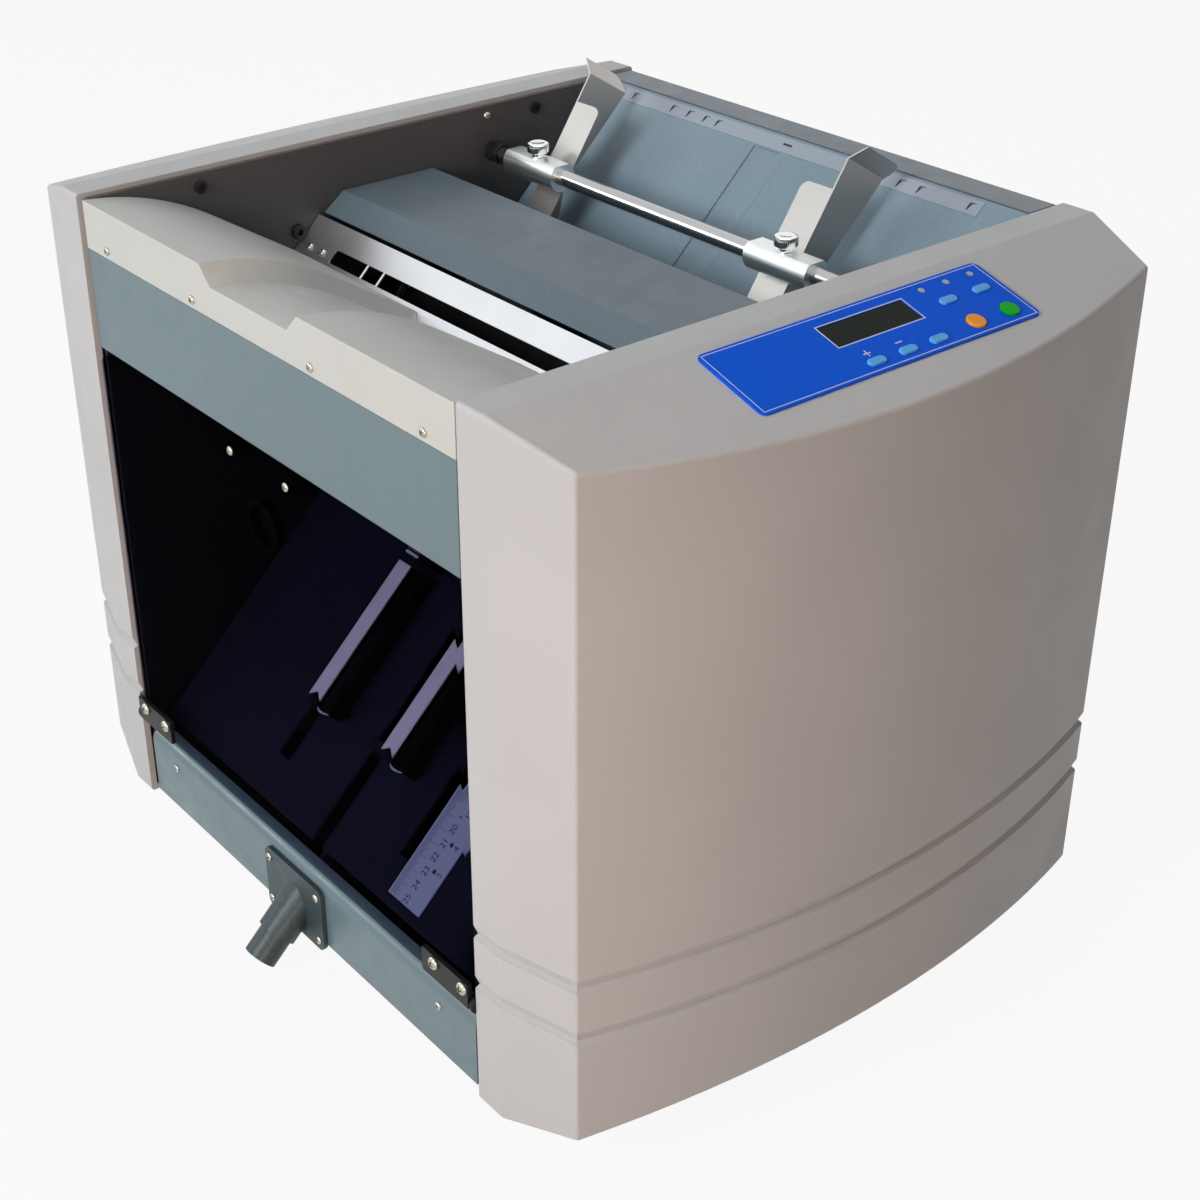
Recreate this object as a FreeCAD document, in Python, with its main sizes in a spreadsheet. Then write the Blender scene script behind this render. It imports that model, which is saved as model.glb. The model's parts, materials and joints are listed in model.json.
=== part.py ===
"""Paper folding machine: two steel side frames carry a sloping paper deck, a hinged smoked
window in front, fold rollers, stapler heads and side guides on a rod, all between two bowed
side covers.

Sizes are millimetres and degrees. Machine coordinates start at the side covers' front and
bottom edges, with X across the machine, Y to the rear and Z up. Deck coordinates run along
the sloping deck: X across, Y up the slope, Z out of it. Panel coordinates lie on the sloping
top of the right cover. Every finished piece is moved so that the origin is the centre of the
machine's footprint, on the floor.
"""
import FreeCAD, Part
import Sketcher
import math
import os
import re

SIZES = {
    # fits between pieces
    "seat_gap": 0.3,
    "running_gap": 0.05,
    "slide_gap": 0.3,
    # side frames
    "frame_inner": 191.7,
    "frame_plate": 3,
    "frame_front": 6,
    "frame_behind_deck": 22.59,
    "frame_over_rod": 31.985,
    "panel_side_gap": 0.5,
    # side covers
    "cover_depth": 440,
    "cover_over_frame": 3,
    "cover_wall": 4.5,
    "cover_strip": 21,
    "cover_run": 51,
    "cover_chamfer": 14,
    "cover_bow": 31,
    "cover_top_slope": 16.3,
    "cover_bottom_slope": 14.6,
    "cover_rounding": 2.5,
    "cover_boss_radius": 8,
    "cover_boss_length": 15,
    "groove_low": 82.5,
    "groove_high": 118.2,
    "groove_depth": 3,
    "groove_lip": 1.5,
    "groove_width": 9,
    # feet and base pan
    "foot_height": 20,
    "foot_radius": 14,
    "foot_side_inset": 30,
    "foot_front_inset": 62,
    "foot_back_inset": 45,
    "pan_sheet": 2,
    "pan_front": 26,
    "pan_edge": 16,
    # deck
    "deck_slope": 44,
    "deck_front": 27,
    "deck_level": 67.6,
    "deck_sheet": 2,
    "deck_start": -12,
    "deck_ahead": 95,
    "fold_station": 304,
    "fold_opening": 6,
    "slot_pitch": 70,
    "slot_width": 12,
    "slot_start": 17,
    "middle_slot_start": -13,
    "slot_end": 165,
    "seam_left": -26,
    "seam_right": -3.5,
    "seam_depth": 1.2,
    "mark_strip_half": 161.7,
    "mark_strip_inset": 2,
    "mark_strip_width": 10,
    "mark_strip_thick": 0.4,
    "ruler_left": 74.5,
    "ruler_width": 31.8,
    "ruler_start": -5,
    "ruler_end": 245,
    "ruler_thick": 1,
    # cross bars under and over the deck
    "bar_width": 12,
    "bar_depth": 6,
    "bar_first": -8,
    "bar_screw": 178,
    "bar_screw_depth": 22,
    "bar_fold_inset": 4,
    "bar_last_inset": 33,
    "stapler_ahead": 57,
    "stapler_bar_lift": 70,
    "stapler_bar_size": 16,
    # front panels
    "panel_face": 2,
    "panel_sheet": 2,
    "base_panel_side_gap": 4.7,
    "base_panel_right_gap": 0.8,
    "base_panel_bottom": 6,
    "base_panel_top": 56,
    "base_panel_bend": 8,
    "base_panel_return": 4,
    "upper_panel_bottom": 341,
    "upper_panel_drop": 30.4,
    "upper_panel_return": 12,
    # delivery cover
    "delivery_side_gap": 0.5,
    "delivery_seat": 0.4,
    "delivery_rise": 30.6,
    "delivery_fall_length": 58.9,
    "delivery_break_rise": 1.2,
    "delivery_curve": 183,
    "delivery_slope": 32.5,
    "delivery_wall": 3,
    "recess_half": 40,
    "recess_flank": 11,
    "recess_depth": 11,
    "recess_lead": 6,
    # window
    "window_side_gap": 3.2,
    "window_bottom_gap": 9.1,
    "window_top_gap": 3,
    "window_thick": 5,
    "window_corner": 8,
    "pivot_lift": 3,
    "finger_hole_radius": 14,
    "finger_hole_drop": 45,
    "finger_ring_wall": 1.6,
    "finger_ring_lip": 2.2,
    "hinge_length": 44,
    "hinge_height": 18,
    "hinge_plate": 3,
    "hinge_cheek": 2.4,
    "hinge_pin_radius": 2,
    "hinge_tab_half": 5.5,
    "hinge_screw_lift": 13.3,
    "hinge_screw_pitch": 27.5,
    "hinge_left_inset": 11,
    "hinge_right_inset": 4.5,
    "window_screw_x": 30,
    "window_screw_drop": 8.5,
    # door catch
    "catch_half": 42,
    "catch_height": 14.7,
    "catch_depth": 6,
    # crank socket and lead screw
    "screw_drop": 15,
    "tube_tip": -93.4,
    "tube_step": -74.4,
    "tube_end": -40,
    "tube_radius": 13,
    "tube_tip_radius": 11,
    "socket_radius": 8,
    "socket_depth": 23,
    "drive_bore_radius": 7,
    "drive_bore_depth": 43,
    "hex_radius": 5,
    "hex_length": 15,
    "screw_radius": 4,
    "crank_plate_half": 33,
    "crank_plate_bottom": 1.5,
    "crank_plate_top": 49,
    "crank_plate_thick": 3,
    "crank_plate_corner": 6,
    "crank_screw_x": 27.5,
    "crank_screw_low": 9,
    "crank_screw_high": 42,
    # stop carriage and brackets
    "carriage_start": 51,
    "carriage_length": 20,
    "carriage_left": -80,
    "carriage_right": 14,
    "carriage_top": -5,
    "carriage_bottom": -23,
    "leg_width": 8,
    "leg_length": 8,
    "leg_top": 3.3,
    "bracket_left_x": -52.5,
    "bracket_right_x": 30.5,
    "bracket_height": 17,
    "bracket_wall": 1.5,
    "bracket_length": 110,
    "bracket_lip": 4,
    "bracket_clear": 0.5,
    "bracket_paper_gap": 3.5,
    "tongue_width": 13.5,
    "tongue_end_radius": 16,
    "tongue_end_lift": 1.5,
    "tongue_dome": 12,
    "strip_thick": 1.2,
    "strip_width": 12.5,
    "strip_inset": 5,
    "strip_notch": 4.5,
    # fold rollers and drive
    "roller_radius": 20,
    "roller_nip": 0.6,
    "roller_lift": 34,
    "roller_side_gap": 26.7,
    "shaft_radius": 5,
    "bearing_radius": 11,
    "bearing_width": 7,
    "gear_teeth": 20,
    "pinion_teeth": 12,
    "gear_offset": 3,
    "gear_width": 8,
    "motor_radius": 28,
    "motor_length": 62,
    "motor_flange": 3,
    "motor_post_radius": 3.5,
    "motor_post_circle": 24,
    "motor_post_length": 15,
    "motor_shaft_radius": 3,
    # fold knife
    "knife_side_gap": 26.7,
    "knife_thick": 1.5,
    "knife_top": -4,
    "knife_depth": 56,
    "knife_guide_reach": 8,
    "knife_guide_width": 12,
    "knife_guide_depth": 64,
    # stapler heads
    "stapler_x": 60,
    "stapler_width": 28,
    "stapler_length": 24,
    "stapler_lift": 8,
    # hood and exit plate
    "hood_sheet": 1.5,
    "hood_lap": 4.3,
    "hood_lift": 0.5,
    "hood_bevel_run": 15.5,
    "hood_bevel_rise": 11.6,
    "hood_top_length": 72.5,
    "throat_ahead": 24,
    "hood_throat": 20,
    "exit_lift": 134.5,
    "exit_behind": 20,
    "exit_length": 41.5,
    "exit_sheet": 1.5,
    "exit_chute_foot": 60,
    "exit_slot_inset": 15.2,
    "exit_slot_width": 10,
    "exit_slot_half": 153,
    "exit_slot_corner": 2.5,
    "exit_pin_radius": 1,
    "exit_pin_outer": 118.2,
    "exit_pin_inner": 100.3,
    # side guides on their rod
    "rod_ahead": 53,
    "rod_lift": 44.7,
    "rod_radius": 5.5,
    "bush_radius": 7,
    "bush_length": 12,
    "clamp_left_inset": 51.7,
    "clamp_right_inset": 94.7,
    "clamp_length": 52,
    "clamp_radius": 10,
    "clamp_flat": 8,
    "guide_left_offset": 4,
    "guide_right_offset": 1,
    "guide_sheet": 1.2,
    "guide_below": 38,
    "guide_length": 111,
    "guide_back": 14.5,
    "guide_bend_lean": 9,
    "guide_foot": 1.5,
    "guide_foot_length": 25,
    "guide_back_rise": 20,
    "guide_front_low": 25.9,
    "guide_front_high": 50,
    "guide_flange": 24,
    "guide_flange_short": 20,
    "guide_flange_low": 2,
    "guide_corner": 6,
    "flare_out": 10.5,
    "flare_up": 9.2,
    "flare_corner": 8,
    "knob_radius": 7.3,
    "knob_height": 7,
    "knob_neck_radius": 4.5,
    "knob_neck": 3,
    "knob_stem_radius": 3,
    # rear panel and power inlet
    "rear_sheet": 2,
    "rear_gap": 3,
    "rear_bottom": 3,
    "rear_drop": 0.35,
    "rear_flange": 22,
    "inlet_side": 71.7,
    "inlet_z": 60,
    "inlet_width": 60,
    "inlet_height": 28,
    "inlet_depth": 22,
    "inlet_flange": 4,
    "inlet_lip": 2,
    "socket_inset": 17,
    "socket_width": 26,
    "socket_height": 18,
    "socket_floor": 4,
    "blade_reach": 3,
    "blade_width": 2,
    "blade_height": 4,
    "blade_pitch": 7,
    "blade_drop": 2,
    "rocker_inset": 12,
    "rocker_width": 14,
    "rocker_height": 20,
    "rocker_depth": 9,
    "rocker_sunk": 4,
    "rocker_tilt": 6,
    # control panel on the right cover's sloping top
    "overlay_start": 8.5,
    "overlay_end": 60,
    "overlay_front": 124,
    "overlay_back": 327,
    "overlay_corner": 4,
    "overlay_thick": 1.2,
    "well_start": 13,
    "well_depth": 12,
    "well_end": 57,
    "well_front": 194,
    "well_back": 321,
    "board_thick": 1.6,
    "board_margin": 3,
    "key_length": 12,
    "key_width": 5.4,
    "key_rise": 1.3,
    "key_travel": 0.9,
    "round_key_radius": 5.6,
    "lower_row": 52.3,
    "upper_row": 29,
    "round_row": 49.6,
    "lamp_row": 15.6,
    "key_plus_y": 209,
    "key_minus_y": 231.8,
    "key_clear_y": 254.4,
    "key_set_y": 285.4,
    "key_enter_y": 311.2,
    "key_manual_y": 285.7,
    "key_auto_y": 312,
    "lamp_radius": 2.2,
    "lamp_first_y": 278.7,
    "lamp_pitch": 19,
    "display_start": 17.4,
    "display_end": 34.6,
    "display_front": 199,
    "display_back": 261,
    "display_sunk": 0.4,
    # screws
    "screw_head_radius": 2.8,
    "screw_head_height": 1.8,
    "dome_radius": 4.2,
    "dome_height": 3,
    "delivery_screw_side": 26.7,
    "delivery_screw_inner": 62,
    "delivery_screw_lift": 5.7,
    "base_screw_side": 32.5,
    "base_screw_drop": 15.5,
    "exit_screw_side": 12.7,
    "exit_screw_pitch": 15,
    "exit_screw_inset": 19,
    "frame_screw_front_y": 82.8,
    "frame_screw_drop": 9,
    "frame_screw_back_y": 349,
    "frame_screw_radius": 4.2,
    "stud_before_rod": 4,
    "stud_drop": 7,
    "cap_screw_inset": 23.6,
    "cap_screw_lift": 5.5,
    "cap_screw_radius": 5,
    "cap_screw_height": 3,
}

V = FreeCAD.Vector
doc = FreeCAD.newDocument("paper_folding_machine")
sheet = doc.addObject("Spreadsheet::Sheet", "Sizes")
for row, (alias, size) in enumerate(SIZES.items(), start=1):
    sheet.set(f"A{row}", alias)
    sheet.set(f"B{row}", str(size))
    sheet.setAlias(f"B{row}", alias)
doc.recompute()

WORD = re.compile(r"[a-z][a-z0-9_]*")
pieces = []


def bound(text):
    """The expression with every size looked up in the sheet, and what follows from sizes
    worked out from them."""
    def look_up(word):
        name = word.group()
        if name in FOLLOWS:
            return f"({bound(FOLLOWS[name])})"
        return "Sizes." + name if name in SIZES else name
    return WORD.sub(look_up, str(text))


def number(text):
    return float(sheet.evalExpression(bound(text)))


def tie(item, **properties):
    """Bind properties of an object to expressions; __ in a name stands for a dot."""
    for name, text in properties.items():
        item.setExpression(name.replace("__", "."), bound(text))


def base(item, x="0", y="0", z="0"):
    tie(item, Placement__Base__x=x, Placement__Base__y=y, Placement__Base__z=z)


# ---------------------------------------------------------------- places

def deck_y(along, out="0"):
    return f"(deck_front + ({along}) * cos(deck_slope) - ({out}) * sin(deck_slope))"


def deck_z(along, out="0"):
    return f"(deck_level + ({along}) * sin(deck_slope) + ({out}) * cos(deck_slope))"


# What lines up with another piece follows from that piece's sizes and a named clearance.
FOLLOWS = {
    # stations along the deck, counted on from the fold
    "stapler_station": "fold_station + stapler_ahead",
    "hood_throat_station": "stapler_station + throat_ahead",
    "rod_station": "hood_throat_station + rod_ahead",
    "guide_start": "rod_station - guide_below",
    "guide_foot_end": "guide_start + guide_foot_length",
    "guide_back_start": "guide_foot_end + guide_back_rise",
    "guide_bend": "guide_start + guide_length",
    "guide_flange_start": "guide_start + guide_flange_low",
    "guide_flange_end": "guide_bend - guide_flange_short",
    "deck_end": "rod_station + deck_ahead",
    "mark_strip_end": "deck_end - mark_strip_inset",
    "mark_strip_start": "mark_strip_end - mark_strip_width",
    "bar_last": "deck_end - bar_last_inset",
    "exit_start": "fold_station - exit_behind",
    "exit_end": "exit_start + exit_length",
    "exit_slot_start": "exit_start + exit_slot_inset",
    "exit_screw_station": "exit_start + exit_screw_inset",
    # frames and covers, large enough for the deck and the guide rod
    "frame_top": f"{deck_z('rod_station', 'rod_lift')} + frame_over_rod",
    "frame_back": f"{deck_y('deck_end')} + frame_behind_deck",
    "cover_height": "frame_top + cover_over_frame",
    "rear_face": "frame_back + rear_gap",
    "rear_top": f"{deck_z('deck_end')} - rear_drop",
    # hood, between the exit plate and the throat
    "hood_front_y": f"{deck_y('exit_end', 'exit_lift')} + hood_lap",
    "hood_front_z": f"{deck_z('exit_end', 'exit_lift')} + hood_lift",
    "hood_crease_y": "hood_front_y + hood_bevel_run",
    "hood_top_z": "hood_front_z + hood_bevel_rise",
    "hood_back_y": "hood_crease_y + hood_top_length",
    # front panels, the window between them and the delivery cover above them
    "base_panel_half": "frame_inner - base_panel_side_gap",
    "upper_panel_top": "frame_top - upper_panel_drop",
    "window_half": "frame_inner - window_side_gap",
    "window_bottom": "base_panel_top + window_bottom_gap",
    "window_top": "upper_panel_bottom - window_top_gap",
    "window_pivot_z": "window_bottom + pivot_lift",
    "finger_hole_z": "window_top - finger_hole_drop",
    "catch_top": "upper_panel_bottom - seat_gap",
    "delivery_half": "frame_inner - delivery_side_gap",
    "delivery_bottom": "upper_panel_top + delivery_seat",
    "delivery_crest": "upper_panel_top + delivery_rise",
    "delivery_break_z": "upper_panel_top + delivery_break_rise",
    "delivery_end": deck_y("exit_slot_start", "exit_lift"),
    "delivery_break_y": "delivery_end - delivery_fall_length",
    # pieces across the machine, between the side frames
    "knife_half": "frame_inner - knife_side_gap",
    "knife_guide_inner": "knife_half - knife_guide_reach",
    "roller_half": "frame_inner - roller_side_gap",
    "clamp_left_x": "clamp_left_inset - frame_inner",
    "clamp_right_x": "frame_inner - clamp_right_inset",
    "guide_left_x": "clamp_left_x - guide_left_offset",
    "guide_right_x": "clamp_right_x - guide_right_offset",
    "inlet_x": "frame_inner - inlet_side",
    # screws
    "exit_screw_outer": "frame_inner - exit_screw_side",
    "exit_screw_inner": "exit_screw_outer - exit_screw_pitch",
    "base_screw_x": "base_panel_half - base_screw_side",
    "delivery_screw_outer": "delivery_half - delivery_screw_side",
    "hinge_screw_z": "window_bottom + hinge_screw_lift",
    "window_screw_z": "window_top - window_screw_drop",
    "delivery_screw_z": "upper_panel_top + delivery_screw_lift",
    "base_screw_z": "base_panel_top - base_screw_drop",
    "frame_screw_z": "frame_top - frame_screw_drop",
    "stud_y": f"{deck_y('rod_station', 'rod_lift')} - stud_before_rod",
    "stud_z": "frame_top - stud_drop",
    "cap_screw_y": deck_y("exit_start + cap_screw_inset", "exit_lift + cap_screw_lift"),
    "cap_screw_z": deck_z("exit_start + cap_screw_inset", "exit_lift + cap_screw_lift"),
}

COVER_EDGE = "(frame_inner + frame_plate + seat_gap)"
SLOPE_EDGE = f"({COVER_EDGE} + cover_strip)"
INSIDE = "(frame_inner - seat_gap)"
FRONT_REACH = f"({deck_y('tube_tip', '-screw_drop')} - tube_tip_radius * sin(deck_slope))"
MIDDLE = f"(({FRONT_REACH} + cover_depth) / 2)"
ROLLER_SPREAD = "(roller_radius + roller_nip / 2)"
MODULE = f"(2 * {ROLLER_SPREAD} / gear_teeth)"
PINION_PITCH = f"({MODULE} * pinion_teeth / 2)"
GEAR_PLANE = "(frame_inner + frame_plate + gear_offset)"
PINION_LIFT = f"(roller_lift - {ROLLER_SPREAD} - {PINION_PITCH})"
FRONT_ROLLER = f"(fold_station - {ROLLER_SPREAD})"
REAR_ROLLER = f"(fold_station + {ROLLER_SPREAD})"
DECK_BREAK_LOW = "(fold_station - fold_opening / 2)"
DECK_BREAK_HIGH = "(fold_station + fold_opening / 2)"
BOARD_TOP = "(-cover_wall * cos(cover_top_slope) - seat_gap)"


def to_machine(item):
    """Give a piece that is built in machine coordinates its place."""
    base(item, "0", f"-{MIDDLE}", "foot_height")


def turn(item, angle, x, y, z):
    """Turn an item about X and put its origin in its place."""
    item.Placement = FreeCAD.Placement(V(0, 0, 0), FreeCAD.Rotation(V(1, 0, 0), 1))
    tie(item, Placement__Rotation__Angle=angle)
    base(item, x, y, z)


def to_deck(item):
    """Give a piece that is built in deck coordinates its place."""
    turn(item, "deck_slope", "0", f"deck_front - {MIDDLE}", "deck_level + foot_height")


def to_panel(item):
    item.Placement = FreeCAD.Placement(V(0, 0, 0), FreeCAD.Rotation(V(0, 1, 0), 1))
    tie(item, Placement__Rotation__Angle="cover_top_slope")
    base(item, SLOPE_EDGE, f"-{MIDDLE}", "cover_height + foot_height")


def finish(item, name, place=None):
    """Name a piece, put it in its place and list it for export."""
    if place and item.TypeId in ("Part::Box", "Part::Cylinder"):
        item.Label = name + "_block"
        item = group([item], name)
    item.Label = name
    if place:
        place(item)
    pieces.append(item)
    return item


# ---------------------------------------------------------------- solids

def box(x, y, z, name="block"):
    """A box between pairs of expressions."""
    solid = doc.addObject("Part::Box", name)
    for length, (low, high) in zip(("Length", "Width", "Height"), (x, y, z)):
        solid.setExpression(length, bound(f"({high}) - ({low})"))
    base(solid, x[0], y[0], z[0])
    return solid


def rod(axis, radius, low, high, at=("0", "0"), name="rod"):
    """A cylinder along X, Y or Z between two stations; at is its place across the axis."""
    solid = doc.addObject("Part::Cylinder", name)
    turns = {"x": (V(0, 1, 0), 90), "y": (V(-1, 0, 0), 90), "z": (V(0, 0, 1), 0)}
    solid.Placement = FreeCAD.Placement(V(0, 0, 0), FreeCAD.Rotation(*turns[axis]))
    tie(solid, Radius=radius, Height=f"({high}) - ({low})")
    places = {"x": (low, *at), "y": (at[0], low, at[1]), "z": (*at, low)}
    base(solid, *places[axis])
    return solid


def fuse(parts, name="joined"):
    solid = doc.addObject("Part::MultiFuse", name)
    solid.Shapes = parts
    solid.Refine = True
    return solid


def group(parts, name="group"):
    several = doc.addObject("Part::Compound", name)
    several.Links = parts
    return several


def cut(whole, tools, name="cut_piece"):
    solid = doc.addObject("Part::Cut", name)
    solid.Base = whole
    solid.Tool = tools[0] if len(tools) == 1 else fuse(tools, "tools")
    return solid


def shared(parts, name):
    common = doc.addObject("Part::MultiCommon", name)
    common.Shapes = parts
    return common


def mirror(source, name):
    twin = doc.addObject("Part::Mirroring", name)
    twin.Source = source
    twin.Base = V(0, 0, 0)
    twin.Normal = V(1, 0, 0)
    return twin


# ---------------------------------------------------------------- sketches

def lock(sketch, curve, end, point, place):
    """Hold one end of a curve at a pair of expressions."""
    for kind, text, value in zip(("DistanceX", "DistanceY"), place, point):
        index = sketch.addConstraint(Sketcher.Constraint(kind, curve, end, value))
        sketch.setExpression(f"Constraints[{index}]", bound(text))


def draw(sketch, points, closed=True):
    """Draw an outline. A point is a pair of expressions; a third entry is the radius of the
    arc that leads on to the next point, positive when the arc turns anticlockwise."""
    places = [(number(point[0]), number(point[1])) for point in points]
    count = len(points) if closed else len(points) - 1
    for index in range(count):
        start = V(*places[index], 0)
        after = (index + 1) % len(points)
        end = V(*places[after], 0)
        if len(points[index]) == 3:
            radius = number(points[index][2])
            chord = end - start
            rise = math.sqrt(max(radius * radius - chord.Length ** 2 / 4, 0))
            side = V(-chord.y, chord.x, 0).normalize() * math.copysign(rise, radius)
            centre = start + chord / 2 + side
            angles = [math.atan2(end_point.y - centre.y, end_point.x - centre.x)
                      for end_point in (start, end)]
            if radius < 0:
                angles.reverse()
            circle = Part.Circle(centre, V(0, 0, 1), abs(radius))
            sketch.addGeometry(Part.ArcOfCircle(circle, *angles))
            held = sketch.addConstraint(Sketcher.Constraint("Radius", index, abs(radius)))
            sketch.setExpression(f"Constraints[{held}]", bound(f"abs({points[index][2]})"))
        else:
            sketch.addGeometry(Part.LineSegment(start, end))
    first = [2 if len(point) == 3 and number(point[2]) < 0 else 1 for point in points]
    last = [3 - end for end in first]
    for index in range(count - (0 if closed else 1)):
        after = (index + 1) % len(points)
        sketch.addConstraint(Sketcher.Constraint("Coincident", index, last[index],
                                                 after, first[after]))
    for index in range(count):
        lock(sketch, index, first[index], places[index], points[index][:2])
    if not closed:
        lock(sketch, count - 1, last[count - 1], places[-1], points[-1][:2])


PLANES = {"z": "XY_Plane", "y": "XZ_Plane", "x": "YZ_Plane"}


def body_sketch(body, axis, points, station, closed=True, name="outline"):
    """A sketch across an axis at a station, in one of the body's own origin planes."""
    sketch = body.newObject("Sketcher::SketchObject", name)
    plane = [item for item in body.Origin.OriginFeatures if item.Role == PLANES[axis]][0]
    sketch.AttachmentSupport = [(plane, "")]
    sketch.MapMode = "FlatFace"
    sign = "-" if axis == "y" else ""
    tie(sketch, AttachmentOffset__Base__z=f"{sign}({station})")
    draw(sketch, points, closed)
    return sketch


def new_body(name):
    return doc.addObject("PartDesign::Body", name)


def pad(body, axis, points, low, high, name="pad"):
    """Extrude an outline along an axis from low to high."""
    station = high if axis == "y" else low
    feature = body.newObject("PartDesign::Pad", name)
    feature.Profile = body_sketch(body, axis, points, station)
    tie(feature, Length=f"({high}) - ({low})")
    body.Tip = feature
    return feature


def pocket(body, axis, points, low, high, name="pocket"):
    """Cut an outline out along an axis from low to high."""
    station = low if axis == "y" else high
    feature = body.newObject("PartDesign::Pocket", name)
    feature.Profile = body_sketch(body, axis, points, station)
    tie(feature, Length=f"({high}) - ({low})")
    body.Tip = feature
    return feature


def rounded_rectangle(x, y, radius):
    (left, right), (low, high) = x, y
    return [(f"{left} + {radius}", low), (f"{right} - {radius}", low, radius),
            (right, f"{low} + {radius}"), (right, f"{high} - {radius}", radius),
            (f"{right} - {radius}", high), (f"{left} + {radius}", high, radius),
            (left, f"{high} - {radius}"), (left, f"{low} + {radius}", radius)]


def bent_sheet(points, thickness, low, high, name="sheet"):
    """A bent sheet across the machine: the line of one face, drawn in Y and Z, and thickened
    to the right of the line, or to the left where the thickness is negative."""
    line = doc.addObject("Sketcher::SketchObject", name + "_line")
    line.Placement = FreeCAD.Placement(V(0, 0, 0), FreeCAD.Rotation(V(1, 1, 1), 120))
    tie(line, Placement__Base__x=low)
    draw(line, points, closed=False)
    strip = doc.addObject("Part::Offset2D", name + "_strip")
    strip.Source = line
    strip.Mode = "Skin"
    strip.Join = "Intersection"
    strip.Fill = True
    tie(strip, Value=thickness)
    solid = doc.addObject("Part::Extrusion", name)
    solid.Base = strip
    solid.DirMode = "Normal"
    solid.Solid = True
    tie(solid, LengthFwd=f"({high}) - ({low})")
    return solid


# ---------------------------------------------------------------- side covers

RUN_END = f"({SLOPE_EDGE} + cover_run)"
CHAMFER_TURN = "atan(cover_chamfer / cover_run)"
CHORD = "(cover_depth - 2 * cover_chamfer)"
BOW_RADIUS = f"({CHORD} ^ 2 / 4 + cover_bow ^ 2) / (2 * cover_bow)"


def cover_solid(name, inset):
    """The bowed cover as a solid block, every wall moved in by the inset."""
    inner = f"({COVER_EDGE} - {'0' if inset == '0' else '2'})"
    front = f"({inset})"
    back = f"(cover_depth - {inset})"
    crown = f"(cover_height - {inset})"
    shoulder = f"({SLOPE_EDGE} - {inset} * tan({CHAMFER_TURN} / 2))"
    run_end = f"({RUN_END} - {inset})"
    chamfer = f"(cover_chamfer + {inset} * (1 - sin({CHAMFER_TURN})) / cos({CHAMFER_TURN}))"
    body = new_body(name)
    pad(body, "z", [(inner, front), (shoulder, front), (run_end, chamfer, BOW_RADIUS),
                    (run_end, f"cover_depth - {chamfer}"), (shoulder, back), (inner, back)],
        inset, crown, name + "_plan")
    far = f"({SLOPE_EDGE} + cover_run + cover_bow + 5)"
    fall = f"({far} - {SLOPE_EDGE})"
    pocket(body, "y", [(SLOPE_EDGE, crown), (far, f"{crown} - {fall} * tan(cover_top_slope)"),
                       (far, f"{crown} + 1")], "-1", "cover_depth + 1", name + "_top")
    pocket(body, "y", [(SLOPE_EDGE, inset), (far, f"{inset} + {fall} * tan(cover_bottom_slope)"),
                       (far, f"{inset} - 1")], "-1", "cover_depth + 1", name + "_bottom")
    return body


def groove_ring(name, level):
    """The moulded groove that runs round the cover, as a solid to cut away."""
    start = f"({COVER_EDGE} - 1)"
    body = new_body(name)
    spine = body_sketch(body, "z", [(start, "0"), (SLOPE_EDGE, "0"),
                                    (RUN_END, "cover_chamfer", BOW_RADIUS),
                                    (RUN_END, "cover_depth - cover_chamfer"),
                                    (SLOPE_EDGE, "cover_depth"), (start, "cover_depth")],
                        level, closed=False, name=name + "_spine")
    slack = "(groove_depth / 6)"
    profile = body_sketch(body, "x", [(f"-{slack}", f"{level} - {slack} / 2"),
                                      ("groove_depth", f"{level} + groove_lip"),
                                      (f"-{slack}", f"{level} + groove_width + {slack} * 2")],
                          start, name=name + "_profile")
    doc.recompute()
    sweep = body.newObject("PartDesign::AdditivePipe", name + "_sweep")
    sweep.Profile = profile
    sweep.Spine = (spine, [f"Edge{index}" for index in range(1, 6)])
    sweep.Transition = "Right corner"
    body.Tip = sweep
    return body


cover_outer = cover_solid("cover_outer", "0")
doc.recompute()


def round_edges(source, radius, wanted, name):
    """Round the edges whose middle meets a test."""
    rounding = doc.addObject("Part::Fillet", name)
    rounding.Base = source
    size = number(radius)
    edges = []
    for index, edge in enumerate(source.Shape.Edges, start=1):
        if wanted(edge.valueAt((edge.FirstParameter + edge.LastParameter) / 2)):
            edges.append((index, size, size))
    rounding.Edges = edges
    return rounding


rim = number(COVER_EDGE)
cover_rounded = round_edges(cover_outer, "cover_rounding", lambda p: p.x > rim + 1,
                            "cover_rounded")

bosses = [rod("x", "cover_boss_radius", COVER_EDGE, f"{COVER_EDGE} + cover_boss_length",
              (f"frame_screw_{end}_y", "frame_screw_z"), "cover_boss")
          for end in ("front", "back")]
well = box(("well_start", "well_end"), ("well_front", "well_back"), ("-well_depth", "well_depth"),
           "well_block")
well.Placement = FreeCAD.Placement(V(0, 0, 0), FreeCAD.Rotation(V(0, 1, 0), 1))
tie(well, Placement__Rotation__Angle="cover_top_slope")
base(well, f"{SLOPE_EDGE} + well_start * cos(cover_top_slope) - well_depth * sin(cover_top_slope)",
     "well_front",
     "cover_height - well_start * sin(cover_top_slope) - well_depth * cos(cover_top_slope)")
shell = cut(cover_rounded, [cover_solid("cover_inner", "cover_wall"),
                          groove_ring("groove_lower", "groove_low"),
                          groove_ring("groove_upper", "groove_high")], "cover_shell")
bossed = fuse([shell, *bosses], "cover_bossed")
side_cover_left = mirror(bossed, "side_cover_left")
finish(side_cover_left, "side_cover_left", to_machine)
finish(cut(bossed, [well], "side_cover_right"), "side_cover_right", to_machine)

# ---------------------------------------------------------------- side frames

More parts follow.
